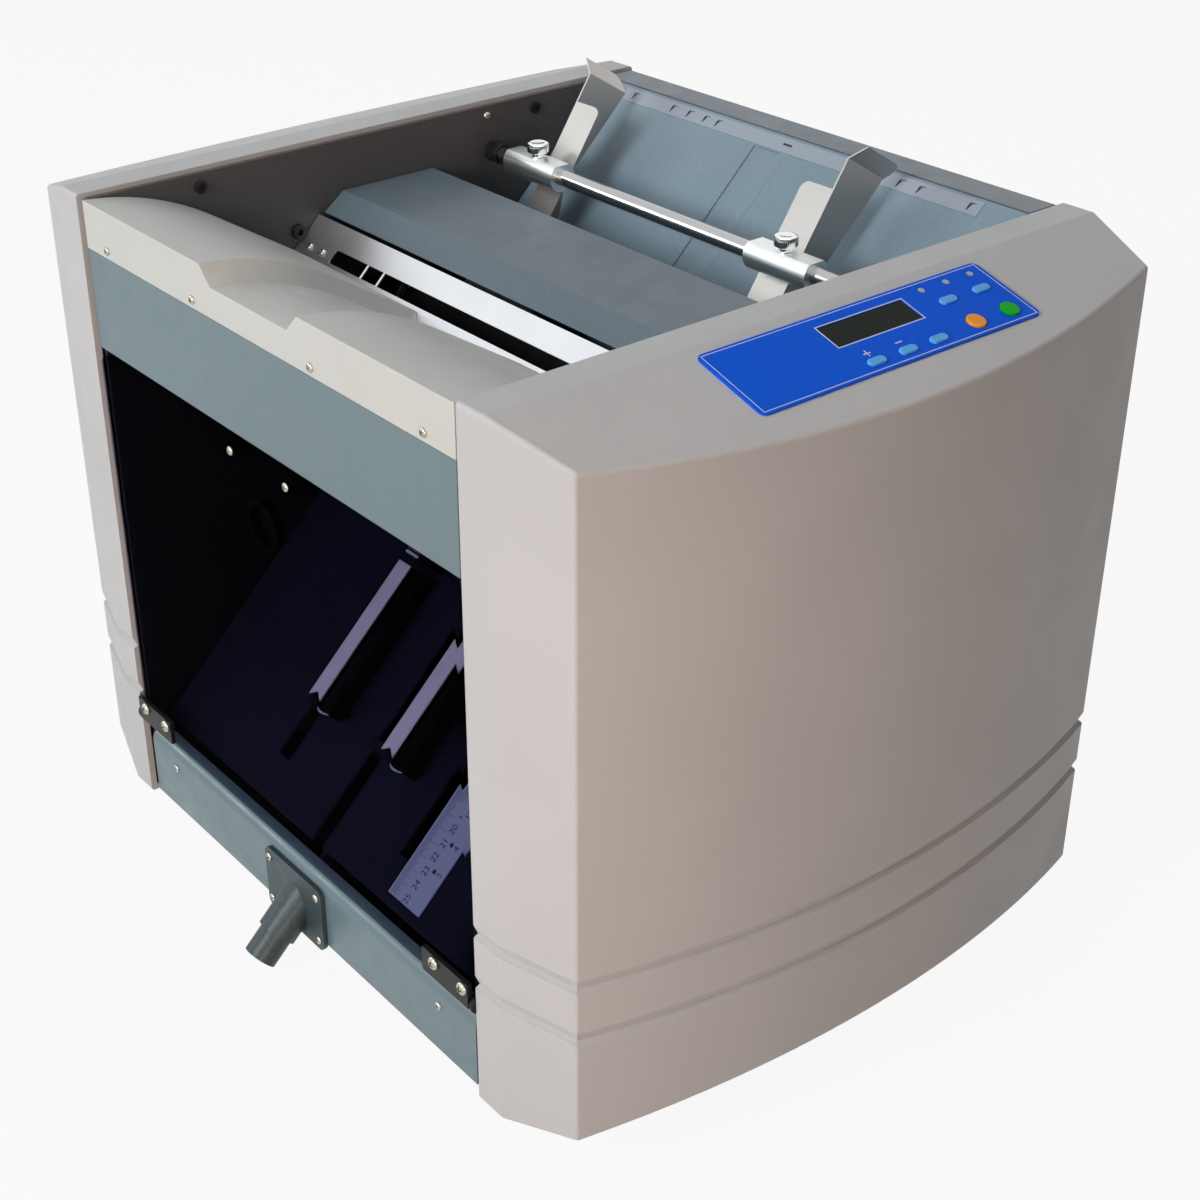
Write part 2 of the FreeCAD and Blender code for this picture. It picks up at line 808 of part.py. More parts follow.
frame_body = new_body("frame_plate_body")
TAB_LOW = "(window_pivot_z - hinge_tab_half)"
TAB_HIGH = "(window_pivot_z + hinge_tab_half)"
TAB_FRONT = "(window_thick / 2 - hinge_tab_half)"
pad(frame_body, "x", [("frame_front", "0"), ("frame_back", "0"), ("frame_back", "frame_top"),
                      ("frame_front", "frame_top"), ("frame_front", TAB_HIGH),
                      ("window_thick / 2", TAB_HIGH, "hinge_tab_half"),
                      (TAB_FRONT, "window_pivot_z", "hinge_tab_half"),
                      ("window_thick / 2", TAB_LOW), ("frame_front", TAB_LOW)],
    "frame_inner", "frame_inner + frame_plate", "frame_pad")


def frame_hole(radius, y, z, name="frame_hole"):
    return rod("x", radius, "frame_inner - 5", "frame_inner + frame_plate + 5", (y, z), name)


frame_holes = [frame_hole("bearing_radius + running_gap", deck_y(station, "roller_lift"),
                          deck_z(station, "roller_lift"), "bearing_hole")
               for station in (FRONT_ROLLER, REAR_ROLLER)]
frame_holes.append(frame_hole("hinge_pin_radius + running_gap", "window_thick / 2",
                              "window_pivot_z", "hinge_hole"))
side_frame_right = finish(cut(frame_body, frame_holes, "side_frame_right"), "side_frame_right",
                          to_machine)
finish(mirror(side_frame_right, "side_frame_left"), "side_frame_left")

# ---------------------------------------------------------------- base, feet and panels

PAN_BACK = "(frame_back - 1)"
pan = bent_sheet([("pan_front", "pan_edge"), ("pan_front", "seat_gap"), (PAN_BACK, "seat_gap"),
                  (PAN_BACK, "pan_edge")], "-pan_sheet", f"-{INSIDE}", INSIDE, "base_pan")
finish(pan, "base_pan", to_machine)

feet = [rod("z", "foot_radius", "-foot_height", "0",
            (f"{side} * (frame_inner - foot_side_inset)", y), "foot")
        for side in (-1, 1) for y in ("foot_front_inset", "frame_back - foot_back_inset")]
finish(group(feet, "rubber_feet"), "rubber_feet", to_machine)


def along_screw(radius, low, high, name):
    """A cylinder on the lead screw's axis, in machine coordinates."""
    solid = rod("y", radius, "0", f"({high}) - ({low})", name=name)
    solid.Placement = FreeCAD.Placement(V(0, 0, 0), FreeCAD.Rotation(V(-1, 0, 0), 1))
    tie(solid, Placement__Rotation__Angle="90 - deck_slope")
    base(solid, "0", deck_y(low, "-screw_drop"), deck_z(low, "-screw_drop"))
    return solid


PANEL_BACK = "(panel_face + base_panel_bend + base_panel_return)"
base_panel = bent_sheet([(PANEL_BACK, "base_panel_bottom"), ("panel_face", "base_panel_bottom"),
                         ("panel_face", "base_panel_top - base_panel_bend",
                          "-base_panel_bend"),
                         ("panel_face + base_panel_bend", "base_panel_top"),
                         (PANEL_BACK, "base_panel_top")],
                        "panel_sheet", "-base_panel_half", "frame_inner - base_panel_right_gap",
                        "base_sheet")
finish(cut(base_panel, [along_screw("tube_radius + slide_gap", "tube_step", "0", "tube_way")],
           "front_base_panel"), "front_base_panel", to_machine)

UPPER_HALF = "(frame_inner - panel_side_gap)"
upper_panel = bent_sheet([("panel_face + upper_panel_return", "upper_panel_bottom"),
                          ("panel_face", "upper_panel_bottom"),
                          ("panel_face", "upper_panel_top"),
                          ("panel_face + upper_panel_return", "upper_panel_top")],
                         "panel_sheet", f"-{UPPER_HALF}", UPPER_HALF, "upper_front_panel")
finish(upper_panel, "upper_front_panel", to_machine)

rear = bent_sheet([("rear_face - rear_flange", "rear_top"), ("rear_face", "rear_top"),
                   ("rear_face", "rear_bottom")],
                  "rear_sheet", f"-{UPPER_HALF}", UPPER_HALF, "rear_sheet_metal")
INLET_SIDES = (f"inlet_x - inlet_width / 2 - slide_gap", f"inlet_x + inlet_width / 2 + slide_gap")
INLET_HEIGHTS = ("inlet_z - inlet_height / 2 - slide_gap", "inlet_z + inlet_height / 2 + slide_gap")
finish(cut(rear, [box(INLET_SIDES, ("rear_face - 10", "rear_face + 5"), INLET_HEIGHTS,
                      "inlet_window")], "rear_panel"), "rear_panel", to_machine)

# ---------------------------------------------------------------- delivery cover

def delivery_solid(name, inset):
    """The domed delivery cover without its recess, as a block moved in by the inset."""
    front = f"(panel_face + {inset})"
    crest = f"(delivery_crest - {inset} * 1.05)"
    break_z = f"(delivery_break_z - {inset} * 1.05)"
    end_y = f"(delivery_end + {inset})"
    end_z = f"({break_z} - ({end_y} - delivery_break_y) * tan(delivery_slope))"
    under = f"({end_z} - recess_depth - 3 * delivery_wall)"
    below = [(front, "delivery_bottom"), (f"{front} + 20", "delivery_bottom"), (end_y, under)]
    if inset != "0":
        below = [(front, f"{under} - 20"), (end_y, f"{under} - 20")]
    outline = below + [(end_y, end_z), ("delivery_break_y", break_z, f"delivery_curve - {inset}"),
                       (front, crest)]
    body = new_body(name)
    side = f"(delivery_half - {inset})"
    pad(body, "x", outline, f"-{side}", side, name + "_pad")
    return body


def recess_solid(name, drop):
    """The sloping-sided recess down the cover's middle, its floor lowered by the drop."""
    crest = f"(delivery_crest - {drop})"
    break_z = f"(delivery_break_z - {drop})"
    end_y = "(delivery_end + 2)"
    end_z = f"({break_z} - ({end_y} - delivery_break_y) * tan(delivery_slope))"
    body = new_body(name)
    spine = body_sketch(body, "x", [(f"panel_face - recess_lead", crest),
                                    ("panel_face", crest, "-delivery_curve"),
                                    ("delivery_break_y", break_z), (end_y, end_z)],
                        "0", closed=False, name=name + "_spine")
    top_half = "(recess_half + recess_flank * 2)"
    profile = body_sketch(body, "y", [("-recess_half", crest), ("recess_half", crest),
                                      (top_half, f"{crest} + 2 * recess_depth"),
                                      (f"-{top_half}", f"{crest} + 2 * recess_depth")],
                          f"panel_face - recess_lead", name=name + "_profile")
    sweep = body.newObject("PartDesign::AdditivePipe", name + "_sweep")
    sweep.Profile = profile
    sweep.Spine = (spine, ["Edge1", "Edge2", "Edge3"])
    sweep.Mode = "Fixed"
    sweep.Transition = "Right corner"
    body.Tip = sweep
    return body


delivery_block = cut(delivery_solid("delivery_outer", "0"),
                     [recess_solid("recess_outer", "recess_depth")], "delivery_block")
delivery_hollow = cut(delivery_solid("delivery_inner", "delivery_wall"),
                      [recess_solid("recess_inner", "(recess_depth + delivery_wall)")],
                      "delivery_hollow")
exit_room = new_body("exit_room")
pad(exit_room, "x", [("exit_start - delivery_seat", "exit_chute_foot"),
                     ("exit_end", "exit_chute_foot"),
                     ("exit_end", "exit_lift + delivery_seat"),
                     ("exit_start - delivery_seat", "exit_lift + delivery_seat")],
    "-delivery_half - 1", "delivery_half + 1", "exit_room_pad")
turn(exit_room, "deck_slope", "0", "deck_front", "deck_level")
finish(cut(delivery_block, [delivery_hollow, exit_room], "delivery_cover"), "delivery_cover",
       to_machine)
doc.recompute()

# ---------------------------------------------------------------- window

window_body = new_body("window_plate")
pad(window_body, "y", [("-window_half", "window_bottom"), ("window_half", "window_bottom"),
                       ("window_half", "window_top - window_corner", "window_corner"),
                       ("window_half - window_corner", "window_top"),
                       ("window_corner - window_half", "window_top", "window_corner"),
                       ("-window_half", "window_top - window_corner")],
    "0", "window_thick", "window_pad")
finger_way = rod("y", "finger_hole_radius + seat_gap", "-1", "window_thick + 1",
                 ("0", "finger_hole_z"), "finger_way")
finish(cut(window_body, [finger_way], "window_door"), "window_door", to_machine)

ring = fuse([rod("y", "finger_hole_radius", "-1", "window_thick + 1", ("0", "finger_hole_z")),
             rod("y", "finger_hole_radius + finger_ring_lip", "-1", "0",
                 ("0", "finger_hole_z"))], "ring_body")
ring_bore = rod("y", "finger_hole_radius - finger_ring_wall", "-3", "window_thick + 3",
                ("0", "finger_hole_z"), "ring_bore")
finish(cut(ring, [ring_bore], "finger_ring"), "finger_ring", to_machine)

HINGE_OUT = "(window_half + seat_gap + hinge_cheek)"


def window_hinge(side):
    """Hinge block on a lower corner of the window, with its pivot pin."""
    def across(low, high):
        return (low, high) if side > 0 else (f"-({high})", f"-({low})")

    low = "window_bottom + 1"
    plate = box(across(f"{HINGE_OUT} - hinge_length", HINGE_OUT), ("-hinge_plate", "0"),
                (low, "window_bottom + hinge_height"), "hinge_plate_block")
    cheek = box(across("window_half + seat_gap", HINGE_OUT),
                ("-hinge_plate", "window_thick + 0.5"),
                (low, "window_pivot_z + 2 * hinge_pin_radius + 1"), "hinge_cheek_block")
    pin = rod("x", "hinge_pin_radius", *across(f"{HINGE_OUT} - 1",
                                               "frame_inner + frame_plate - seat_gap"),
              ("window_thick / 2", "window_pivot_z"), "hinge_pin")
    return fuse([plate, cheek, pin], "window_hinge")


finish(group([window_hinge(side) for side in (-1, 1)], "window_hinges"), "window_hinges",
       to_machine)

window_heads = [rod("y", "screw_head_radius", "-screw_head_height", "0",
                    (f"{side} * window_screw_x", "window_screw_z"), "window_head")
                for side in (-1, 1)]
window_heads += [rod("y", "dome_radius", "-hinge_plate - dome_height", "-hinge_plate",
                     (f"{side} * ({HINGE_OUT} - {inset} - {step} * hinge_screw_pitch)",
                      "hinge_screw_z"), "hinge_head")
                 for side, inset in ((-1, "hinge_left_inset"), (1, "hinge_right_inset"))
                 for step in (0, 1)]
finish(group(window_heads, "window_screws"), "window_screws", to_machine)

CATCH_FACE = "(window_thick + seat_gap)"
finish(box(("-catch_half", "catch_half"), (CATCH_FACE, f"{CATCH_FACE} + catch_depth"),
           ("catch_top - catch_height", "catch_top"), "door_catch"), "door_catch", to_machine)

# ---------------------------------------------------------------- crank socket and lead screw

PLATE_BACK = "(panel_face - seat_gap)"
PLATE_FRONT = f"({PLATE_BACK} - crank_plate_thick)"
crank_plate = new_body("crank_plate")
pad(crank_plate, "y", rounded_rectangle(("-crank_plate_half", "crank_plate_half"),
                                        ("crank_plate_bottom", "crank_plate_top"),
                                        "crank_plate_corner"),
    PLATE_FRONT, PLATE_BACK, "crank_plate_pad")
SOCKET_END = "(tube_tip + socket_depth)"
DRIVE_END = "(tube_tip + drive_bore_depth)"
crank_tube = fuse([crank_plate,
                   along_screw("tube_radius", "tube_step", "tube_end", "tube_body"),
                   along_screw("tube_tip_radius", "tube_tip", "tube_step", "tube_nose")],
                  "crank_tube")
crank_bores = [along_screw("socket_radius", "tube_tip - 1", SOCKET_END, "socket_bore"),
               along_screw("drive_bore_radius", SOCKET_END, DRIVE_END, "drive_bore"),
               along_screw("screw_radius + running_gap", DRIVE_END, "tube_end + 1",
                           "bearing_bore")]
finish(cut(crank_tube, crank_bores, "crank_bracket"), "crank_bracket", to_machine)

HEX_START = f"({SOCKET_END} + 1)"
SCREW_END = "(bar_screw + bar_width)"
hex_end = doc.addObject("Part::Prism", "hex_end")
hex_end.Polygon = 6
hex_end.Placement = FreeCAD.Placement(V(0, 0, 0), FreeCAD.Rotation(V(-1, 0, 0), 90))
tie(hex_end, Circumradius="hex_radius", Height="hex_length")
base(hex_end, "0", HEX_START, "-screw_drop")
screw_rod = rod("y", "screw_radius", f"{HEX_START} + hex_length", SCREW_END,
                ("0", "-screw_drop"), "screw_rod")
finish(fuse([hex_end, screw_rod], "lead_screw"), "lead_screw", to_deck)

# ---------------------------------------------------------------- stop carriage and brackets

CARRIAGE = ("carriage_start", "carriage_start + carriage_length")
LEG_START = "(carriage_start + (carriage_length - leg_length) / 2)"
LEG = (LEG_START, f"{LEG_START} + leg_length")
LEG_PLACES = {"left": "-slot_pitch", "right": "0"}
carriage_parts = [box(("carriage_left", "carriage_right"), CARRIAGE,
                      ("carriage_bottom", "carriage_top"), "carriage_block")]
carriage_parts += [box((f"{x} - leg_width / 2", f"{x} + leg_width / 2"), LEG,
                       ("carriage_top - 1", "leg_top"), "carriage_leg")
                   for x in LEG_PLACES.values()]
carriage_bore = rod("y", "screw_radius + running_gap", "carriage_start - 1",
                    "carriage_start + carriage_length + 1", ("0", "-screw_drop"), "nut_bore")
finish(cut(fuse(carriage_parts, "carriage_body"), [carriage_bore], "stop_carriage"),
       "stop_carriage", to_deck)

BRACKET = (LEG_START, f"{LEG_START} + bracket_length")
TONGUE_TOP = "(bracket_height + strip_thick)"


def tongue(left, right):
    """Bar with a domed top and a rounded lower end."""
    low = f"({LEG_START} + tongue_end_lift)"
    body = new_body("stop_tongue")
    pad(body, "z", [(right, BRACKET[1]), (left, BRACKET[1]), (left, low, "tongue_end_radius"),
                    (right, low)],
        "bracket_paper_gap", f"{TONGUE_TOP} + 1", "stop_tongue_pad")
    dome = rod("y", "tongue_dome", f"{LEG_START} - 1", f"{BRACKET[1]} + 1",
               (f"({left} + tongue_width / 2)", f"{TONGUE_TOP} - tongue_dome"), "tongue_dome_rod")
    return shared([body, dome], "stop_tongue_bar")


def stop_bracket(side):
    """Channel over the deck with a solid tongue on its right, closed by the stop at its end."""
    seam = f"bracket_{side}_x"
    left, right = f"({seam} - strip_width)", f"({seam} + tongue_width)"
    end = f"({LEG_START} + strip_inset)"
    lip = (end, f"{end} + bracket_lip")
    walls = [tongue(seam, right)]
    walls += [box(*sides, "bracket_wall_block") for sides in (
        ((left, f"{seam} + 1"), (end, BRACKET[1]),
         ("bracket_height - bracket_wall", "bracket_height")),
        ((left, f"{left} + bracket_wall"), (end, BRACKET[1]),
         ("bracket_paper_gap", "bracket_height")),
        ((left, f"{seam} + 1"), lip, ("bracket_clear", "bracket_height")),
        ((seam, right), lip, ("bracket_clear", "bracket_paper_gap + 1")),
        ((f"{LEG_PLACES[side]} - leg_width / 2", f"{seam} + 1"), LEG,
         ("leg_top + seat_gap", "leg_top + seat_gap + 3")))]
    return fuse(walls, "stop_bracket")


def stop_strip(side):
    """Bright strip along the top of a bracket, notched at its lower end."""
    right = f"bracket_{side}_x"
    left, low = f"({right} - strip_width)", f"({LEG_START} + strip_inset)"
    body = new_body("stop_strip_body")
    pad(body, "z", [(left, low), (f"({right} - strip_width / 2)", f"{low} + strip_notch"),
                    (right, low), (right, BRACKET[1]), (left, BRACKET[1])],
        "bracket_height", "bracket_height + strip_thick", "stop_strip_pad")
    return body


finish(group([stop_bracket(side) for side in LEG_PLACES], "stop_brackets"), "stop_brackets",
       to_deck)
finish(group([stop_strip(side) for side in LEG_PLACES], "stop_strips"), "stop_strips", to_deck)

# ---------------------------------------------------------------- deck

WIDTH = (f"-{INSIDE}", INSIDE)
stop_sheet = box(WIDTH, ("deck_start", DECK_BREAK_LOW), ("-deck_sheet", "0"), "stop_sheet")
slots = [box((f"{x} - slot_width / 2", f"{x} + slot_width / 2"), (start, "slot_end"),
             ("-deck_sheet - 1", "1"), "stop_slot")
         for x, start in (("-slot_pitch", "slot_start"), ("0", "middle_slot_start"),
                          ("slot_pitch", "slot_start"))]
finish(cut(stop_sheet, slots, "stop_plate"), "stop_plate", to_deck)
feed_sheet = box(WIDTH, (DECK_BREAK_HIGH, "deck_end"), ("-deck_sheet", "0"), "feed_sheet")
seam = box(("seam_left", "seam_right"), (f"{DECK_BREAK_HIGH} - 1", "mark_strip_start - 1"),
           ("-seam_depth", "1"), "feed_seam")
finish(cut(feed_sheet, [seam], "feed_plate"), "feed_plate", to_deck)
finish(box(("-mark_strip_half", "mark_strip_half"), ("mark_strip_start", "mark_strip_end"),
           ("0", "mark_strip_thick"), "mark_strip"), "mark_strip", to_deck)
finish(box(("ruler_left", "ruler_left + ruler_width"), ("ruler_start", "ruler_end"),
           ("0", "ruler_thick"), "ruler"), "ruler", to_deck)

BAR_TOP = "(-deck_sheet - seat_gap)"


def deck_bar(start, depth="bar_depth"):
    return box(WIDTH, (start, f"{start} + bar_width"), (f"{BAR_TOP} - {depth}", BAR_TOP),
               "deck_bar")


screw_bar = cut(deck_bar("bar_screw", "bar_screw_depth"),
                [rod("y", "screw_radius + running_gap", "bar_screw - 1", f"{SCREW_END} + 1",
                     ("0", "-screw_drop"), "screw_bar_bore")], "screw_bar")
BEAM = ("stapler_station - stapler_bar_size / 2", "stapler_station + stapler_bar_size / 2")
stapler_beam = box(WIDTH, BEAM, ("stapler_bar_lift", "stapler_bar_lift + stapler_bar_size"),
                   "stapler_beam")
bars = [deck_bar("bar_first"), screw_bar,
        deck_bar(f"({DECK_BREAK_LOW} - bar_fold_inset - bar_width)"),
        deck_bar(f"({DECK_BREAK_HIGH} + bar_fold_inset)"), deck_bar("bar_last"), stapler_beam]
finish(group(bars, "tie_bars"), "tie_bars", to_deck)

# ---------------------------------------------------------------- fold rollers, gears, motor


def to_shaft(item, station, lift, phase="0"):
    """Move a piece built round the X axis onto a shaft over the deck, turned by the phase."""
    item.Placement = FreeCAD.Placement(V(0, 0, 0), FreeCAD.Rotation(V(1, 0, 0), 1))
    tie(item, Placement__Rotation__Angle=f"deck_slope + {phase}")
    base(item, "0", f"{deck_y(station, lift)} - {MIDDLE}", f"{deck_z(station, lift)} + foot_height")


def circle(radius):
    return [(radius, "0", radius), ("0", radius, radius), (f"-{radius}", "0", radius),
            ("0", f"-{radius}", radius)]


SHAFT_LEFT = "(frame_inner + frame_plate + gear_offset)"
SHAFT_RIGHT = f"({GEAR_PLANE} + gear_width)"
for name, station in (("fold_roller_front", FRONT_ROLLER), ("fold_roller_rear", REAR_ROLLER)):
    roller = fuse([rod("x", "roller_radius", "-roller_half", "roller_half", name="roller_sleeve"),
                   rod("x", "shaft_radius", f"-{SHAFT_LEFT}", SHAFT_RIGHT, name="roller_shaft")],
                  name)
    finish(roller, name)
    to_shaft(roller, station, "roller_lift")

BEARING = ("frame_inner + (frame_plate - bearing_width) / 2",
           "frame_inner + (frame_plate + bearing_width) / 2")
bearings = []
for station in (FRONT_ROLLER, REAR_ROLLER):
    for low, high in (BEARING, (f"-({BEARING[1]})", f"-({BEARING[0]})")):
        place = (station, "roller_lift")
        ring_bore = rod("x", "shaft_radius + running_gap", f"{low} - 1", f"{high} + 1", place)
        bearings.append(cut(rod("x", "bearing_radius", low, high, place), [ring_bore],
                            "bearing_ring"))
finish(group(bearings, "roller_bearings"), "roller_bearings", to_deck)


def gear(name, teeth, bore):
    """A spur gear round the X axis, one tooth along Y."""
    pitch = f"({MODULE} * {teeth} / 2)"
    root, tip = f"({pitch} - 1.15 * {MODULE})", f"({pitch} + 0.9 * {MODULE})"
    low, high = GEAR_PLANE, f"({GEAR_PLANE} + gear_width)"
    body = new_body(name)
    pad(body, "x", circle(root), low, high, name + "_disc")
    foot_half, tip_half = f"({MODULE} * 0.98)", f"({MODULE} * 0.36)"
    tooth = pad(body, "x", [(f"({root} - 0.8)", f"-{foot_half}"), (tip, f"-{tip_half}"),
                            (tip, tip_half), (f"({root} - 0.8)", foot_half)], low, high,
                name + "_tooth")
    doc.recompute()
    ring_of_teeth = body.newObject("PartDesign::PolarPattern", name + "_teeth")
    ring_of_teeth.Originals = [tooth]
    ring_of_teeth.Axis = ([item for item in body.Origin.OriginFeatures
                           if item.Role == "X_Axis"][0], [""])
    ring_of_teeth.Angle = 360
    tie(ring_of_teeth, Occurrences=teeth)
    body.Tip = ring_of_teeth
    if bore:
        pocket(body, "x", circle(bore), f"{low} - 1", f"{high} + 1", name + "_bore")
    return body


for name, station, phase in (("roller_gear_front", FRONT_ROLLER, "0"),
                             ("roller_gear_rear", REAR_ROLLER, "180 + 180 / gear_teeth")):
    wheel = finish(gear(name, "gear_teeth", "(shaft_radius + running_gap)"), name)
    to_shaft(wheel, station, "roller_lift", phase)

FLANGE = "(frame_inner + frame_plate + motor_post_length)"
MOTOR_FACE = f"({FLANGE} + motor_flange)"
pinion_shaft = rod("x", "motor_shaft_radius", GEAR_PLANE, f"{MOTOR_FACE} + 4", name="pinion_shaft")
drive_pinion = fuse([gear("pinion_gear", "pinion_teeth", ""), pinion_shaft], "drive_pinion")
finish(drive_pinion, "drive_pinion")
to_shaft(drive_pinion, FRONT_ROLLER, PINION_LIFT,
         "90 - 90 * gear_teeth / pinion_teeth + 180 / pinion_teeth")

MOTOR_POST_ANGLES = (200, 270, 340)
motor_parts = [rod("x", "motor_radius", MOTOR_FACE, f"{MOTOR_FACE} + motor_length", name="motor_can"),
               rod("x", "motor_radius + 2", FLANGE, MOTOR_FACE, name="motor_flange_disc")]
for angle in MOTOR_POST_ANGLES:
    motor_parts.append(rod("x", "motor_post_radius", "frame_inner + frame_plate + seat_gap",
                           f"{FLANGE} + 1",
                           (f"motor_post_circle * cos({angle})",
                            f"motor_post_circle * sin({angle})"), "motor_post"))
motor = cut(fuse(motor_parts, "motor_body"),
            [rod("x", "motor_shaft_radius + running_gap", f"{FLANGE} - 1", f"{MOTOR_FACE} + 5",
                 name="motor_bore")], "drive_motor")
finish(motor, "drive_motor")
to_shaft(motor, FRONT_ROLLER, PINION_LIFT)

# ---------------------------------------------------------------- fold knife, stapler heads

KNIFE = ("fold_station - knife_thick / 2", "fold_station + knife_thick / 2")
finish(box(("-knife_half", "knife_half"), KNIFE, ("knife_top - knife_depth", "knife_top"),
           "fold_knife"), "fold_knife", to_deck)
knife_guides = []
for side in (-1, 1):
    sides = (f"{side} * knife_guide_inner", f"{side} * {INSIDE}")
    groove = (f"{side} * (knife_guide_inner - 1)", f"{side} * (knife_half + slide_gap)")
    if side < 0:
        sides, groove = sides[::-1], groove[::-1]
    block = box(sides, ("fold_station - knife_guide_width / 2", "fold_station + knife_guide_width / 2"),
                (f"{BAR_TOP} - knife_guide_depth", f"{BAR_TOP} - bar_depth"), "knife_guide_block")
    way = box(groove, (f"{KNIFE[0]} - slide_gap", f"{KNIFE[1]} + slide_gap"),
              (f"{BAR_TOP} - knife_guide_depth - 1", "0"), "knife_way")
    knife_guides.append(cut(block, [way], "knife_guide"))
finish(group(knife_guides, "knife_guides"), "knife_guides", to_deck)

heads = [box((f"{side} * stapler_x - stapler_width / 2", f"{side} * stapler_x + stapler_width / 2"),
             ("stapler_station - stapler_length / 2", "stapler_station + stapler_length / 2"),
             ("stapler_lift", "stapler_bar_lift - seat_gap"), "stapler_head")
         for side in (-1, 1)]
finish(group(heads, "stapler_heads"), "stapler_heads", to_deck)

# ---------------------------------------------------------------- hood and exit plate

ACROSS = (f"-{UPPER_HALF}", UPPER_HALF)
finish(bent_sheet([("hood_front_y", "hood_front_z"), ("hood_crease_y", "hood_top_z"),
                   ("hood_back_y", "hood_top_z"),
                   (deck_y("hood_throat_station", "hood_throat"),
                    deck_z("hood_throat_station", "hood_throat"))],
                  "hood_sheet", *ACROSS, "hood"), "hood", to_machine)
exit_sheet = bent_sheet([("exit_start", "exit_chute_foot"), ("exit_start", "exit_lift"),
                         ("exit_end", "exit_lift")], "exit_sheet", *ACROSS, "exit_sheet_metal")
exit_slot = new_body("exit_slot")
pad(exit_slot, "z", rounded_rectangle(("-exit_slot_half", "exit_slot_half"),
                                      ("exit_slot_start", "exit_slot_start + exit_slot_width"),
                                      "exit_slot_corner"),
    "exit_lift - 5", "exit_lift + 5", "exit_slot_pad")
exit_pins = [rod("y", "exit_pin_radius", "exit_slot_start - 2",
                 "exit_slot_start + exit_slot_width + 2",
                 (f"{side} * {x}", "exit_lift - exit_sheet - 0.5 * exit_pin_radius"), "exit_pin")
             for side in (-1, 1) for x in ("exit_pin_outer", "exit_pin_inner")]
finish(fuse([cut(exit_sheet, [exit_slot], "slotted_sheet")] + exit_pins, "exit_plate"),
       "exit_plate", to_deck)

# ---------------------------------------------------------------- guide rod, clamps, guides

ROD_PLACE = (deck_y("rod_station", "rod_lift"), deck_z("rod_station", "rod_lift"))
finish(rod("x", "rod_radius", f"-{INSIDE}", INSIDE, ROD_PLACE, "guide_rod"), "guide_rod",
       to_machine)
bushes = []
for low, high in ((f"-{INSIDE}", f"bush_length - {INSIDE}"), (f"{INSIDE} - bush_length", INSIDE)):
    bore = rod("x", "rod_radius + running_gap", f"{low} - 1", f"{high} + 1", ROD_PLACE, "bush_bore")
    bushes.append(cut(rod("x", "bush_radius", low, high, ROD_PLACE), [bore], "rod_bush"))
finish(group(bushes, "rod_bushes"), "rod_bushes", to_machine)

FRONT_LINE = "(guide_front_high - guide_front_low) / (guide_bend - guide_start)"
BEND_TILT = "atan(guide_bend_lean / (guide_front_high - guide_back))"
BEND_LENGTH = f"((guide_front_high - guide_back) / cos({BEND_TILT}))"


def front_edge(along, out="0"):
    return f"(guide_front_low + (({along}) - guide_start) * {FRONT_LINE} + {out})"


def guide_clamp(side):
    """Round clamp on the guide rod, flat on top and where the guide is screwed to its back."""
    centre = f"clamp_{side}_x"
    low, high = f"({centre} - clamp_length / 2)", f"({centre} + clamp_length / 2)"
    barrel = rod("x", "clamp_radius", low, high, ROD_PLACE, "clamp_barrel")
    above = box((f"{low} - 1", f"{high} + 1"),
                (f"{ROD_PLACE[0]} - 2 * clamp_radius", f"{ROD_PLACE[0]} + 2 * clamp_radius"),
                (f"{ROD_PLACE[1]} + clamp_flat", f"{ROD_PLACE[1]} + 2 * clamp_radius"),
                "clamp_top_cut")
    behind = new_body("clamp_back_cut")
    pad(behind, "x", [("guide_start", front_edge("guide_start", "seat_gap")),
                      ("guide_start", "0"), ("guide_bend", "0"),
                      ("guide_bend", front_edge("guide_bend", "seat_gap"))],
        f"{low} - 1", f"{high} + 1", "clamp_back_pad")
    turn(behind, "deck_slope", "0", "deck_front", "deck_level")
    bore = rod("x", "rod_radius + running_gap", f"{low} - 2", f"{high} + 2", ROD_PLACE, "clamp_bore")
    thread = rod("z", "knob_stem_radius + running_gap", ROD_PLACE[1],
                 f"{ROD_PLACE[1]} + clamp_radius", (centre, ROD_PLACE[0]), "clamp_thread")
    return cut(barrel, [above, behind, bore, thread], f"guide_clamp_{side}")


def clamp_knob(side):
    centre = f"clamp_{side}_x"
    top = f"({ROD_PLACE[1]} + clamp_flat)"
    place = (centre, ROD_PLACE[0])
    stem = rod("z", "knob_stem_radius", f"{ROD_PLACE[1]} + rod_radius + seat_gap", f"{top} + 1",
               place, "knob_stem")
    neck = rod("z", "knob_neck_radius", f"{top} + seat_gap", f"{top} + knob_neck", place, "knob_neck")
    head = rod("z", "knob_radius", f"{top} + knob_neck", f"{top} + knob_neck + knob_height",
               place, "knob_head")
    return fuse([stem, neck, head], f"clamp_knob_{side}")


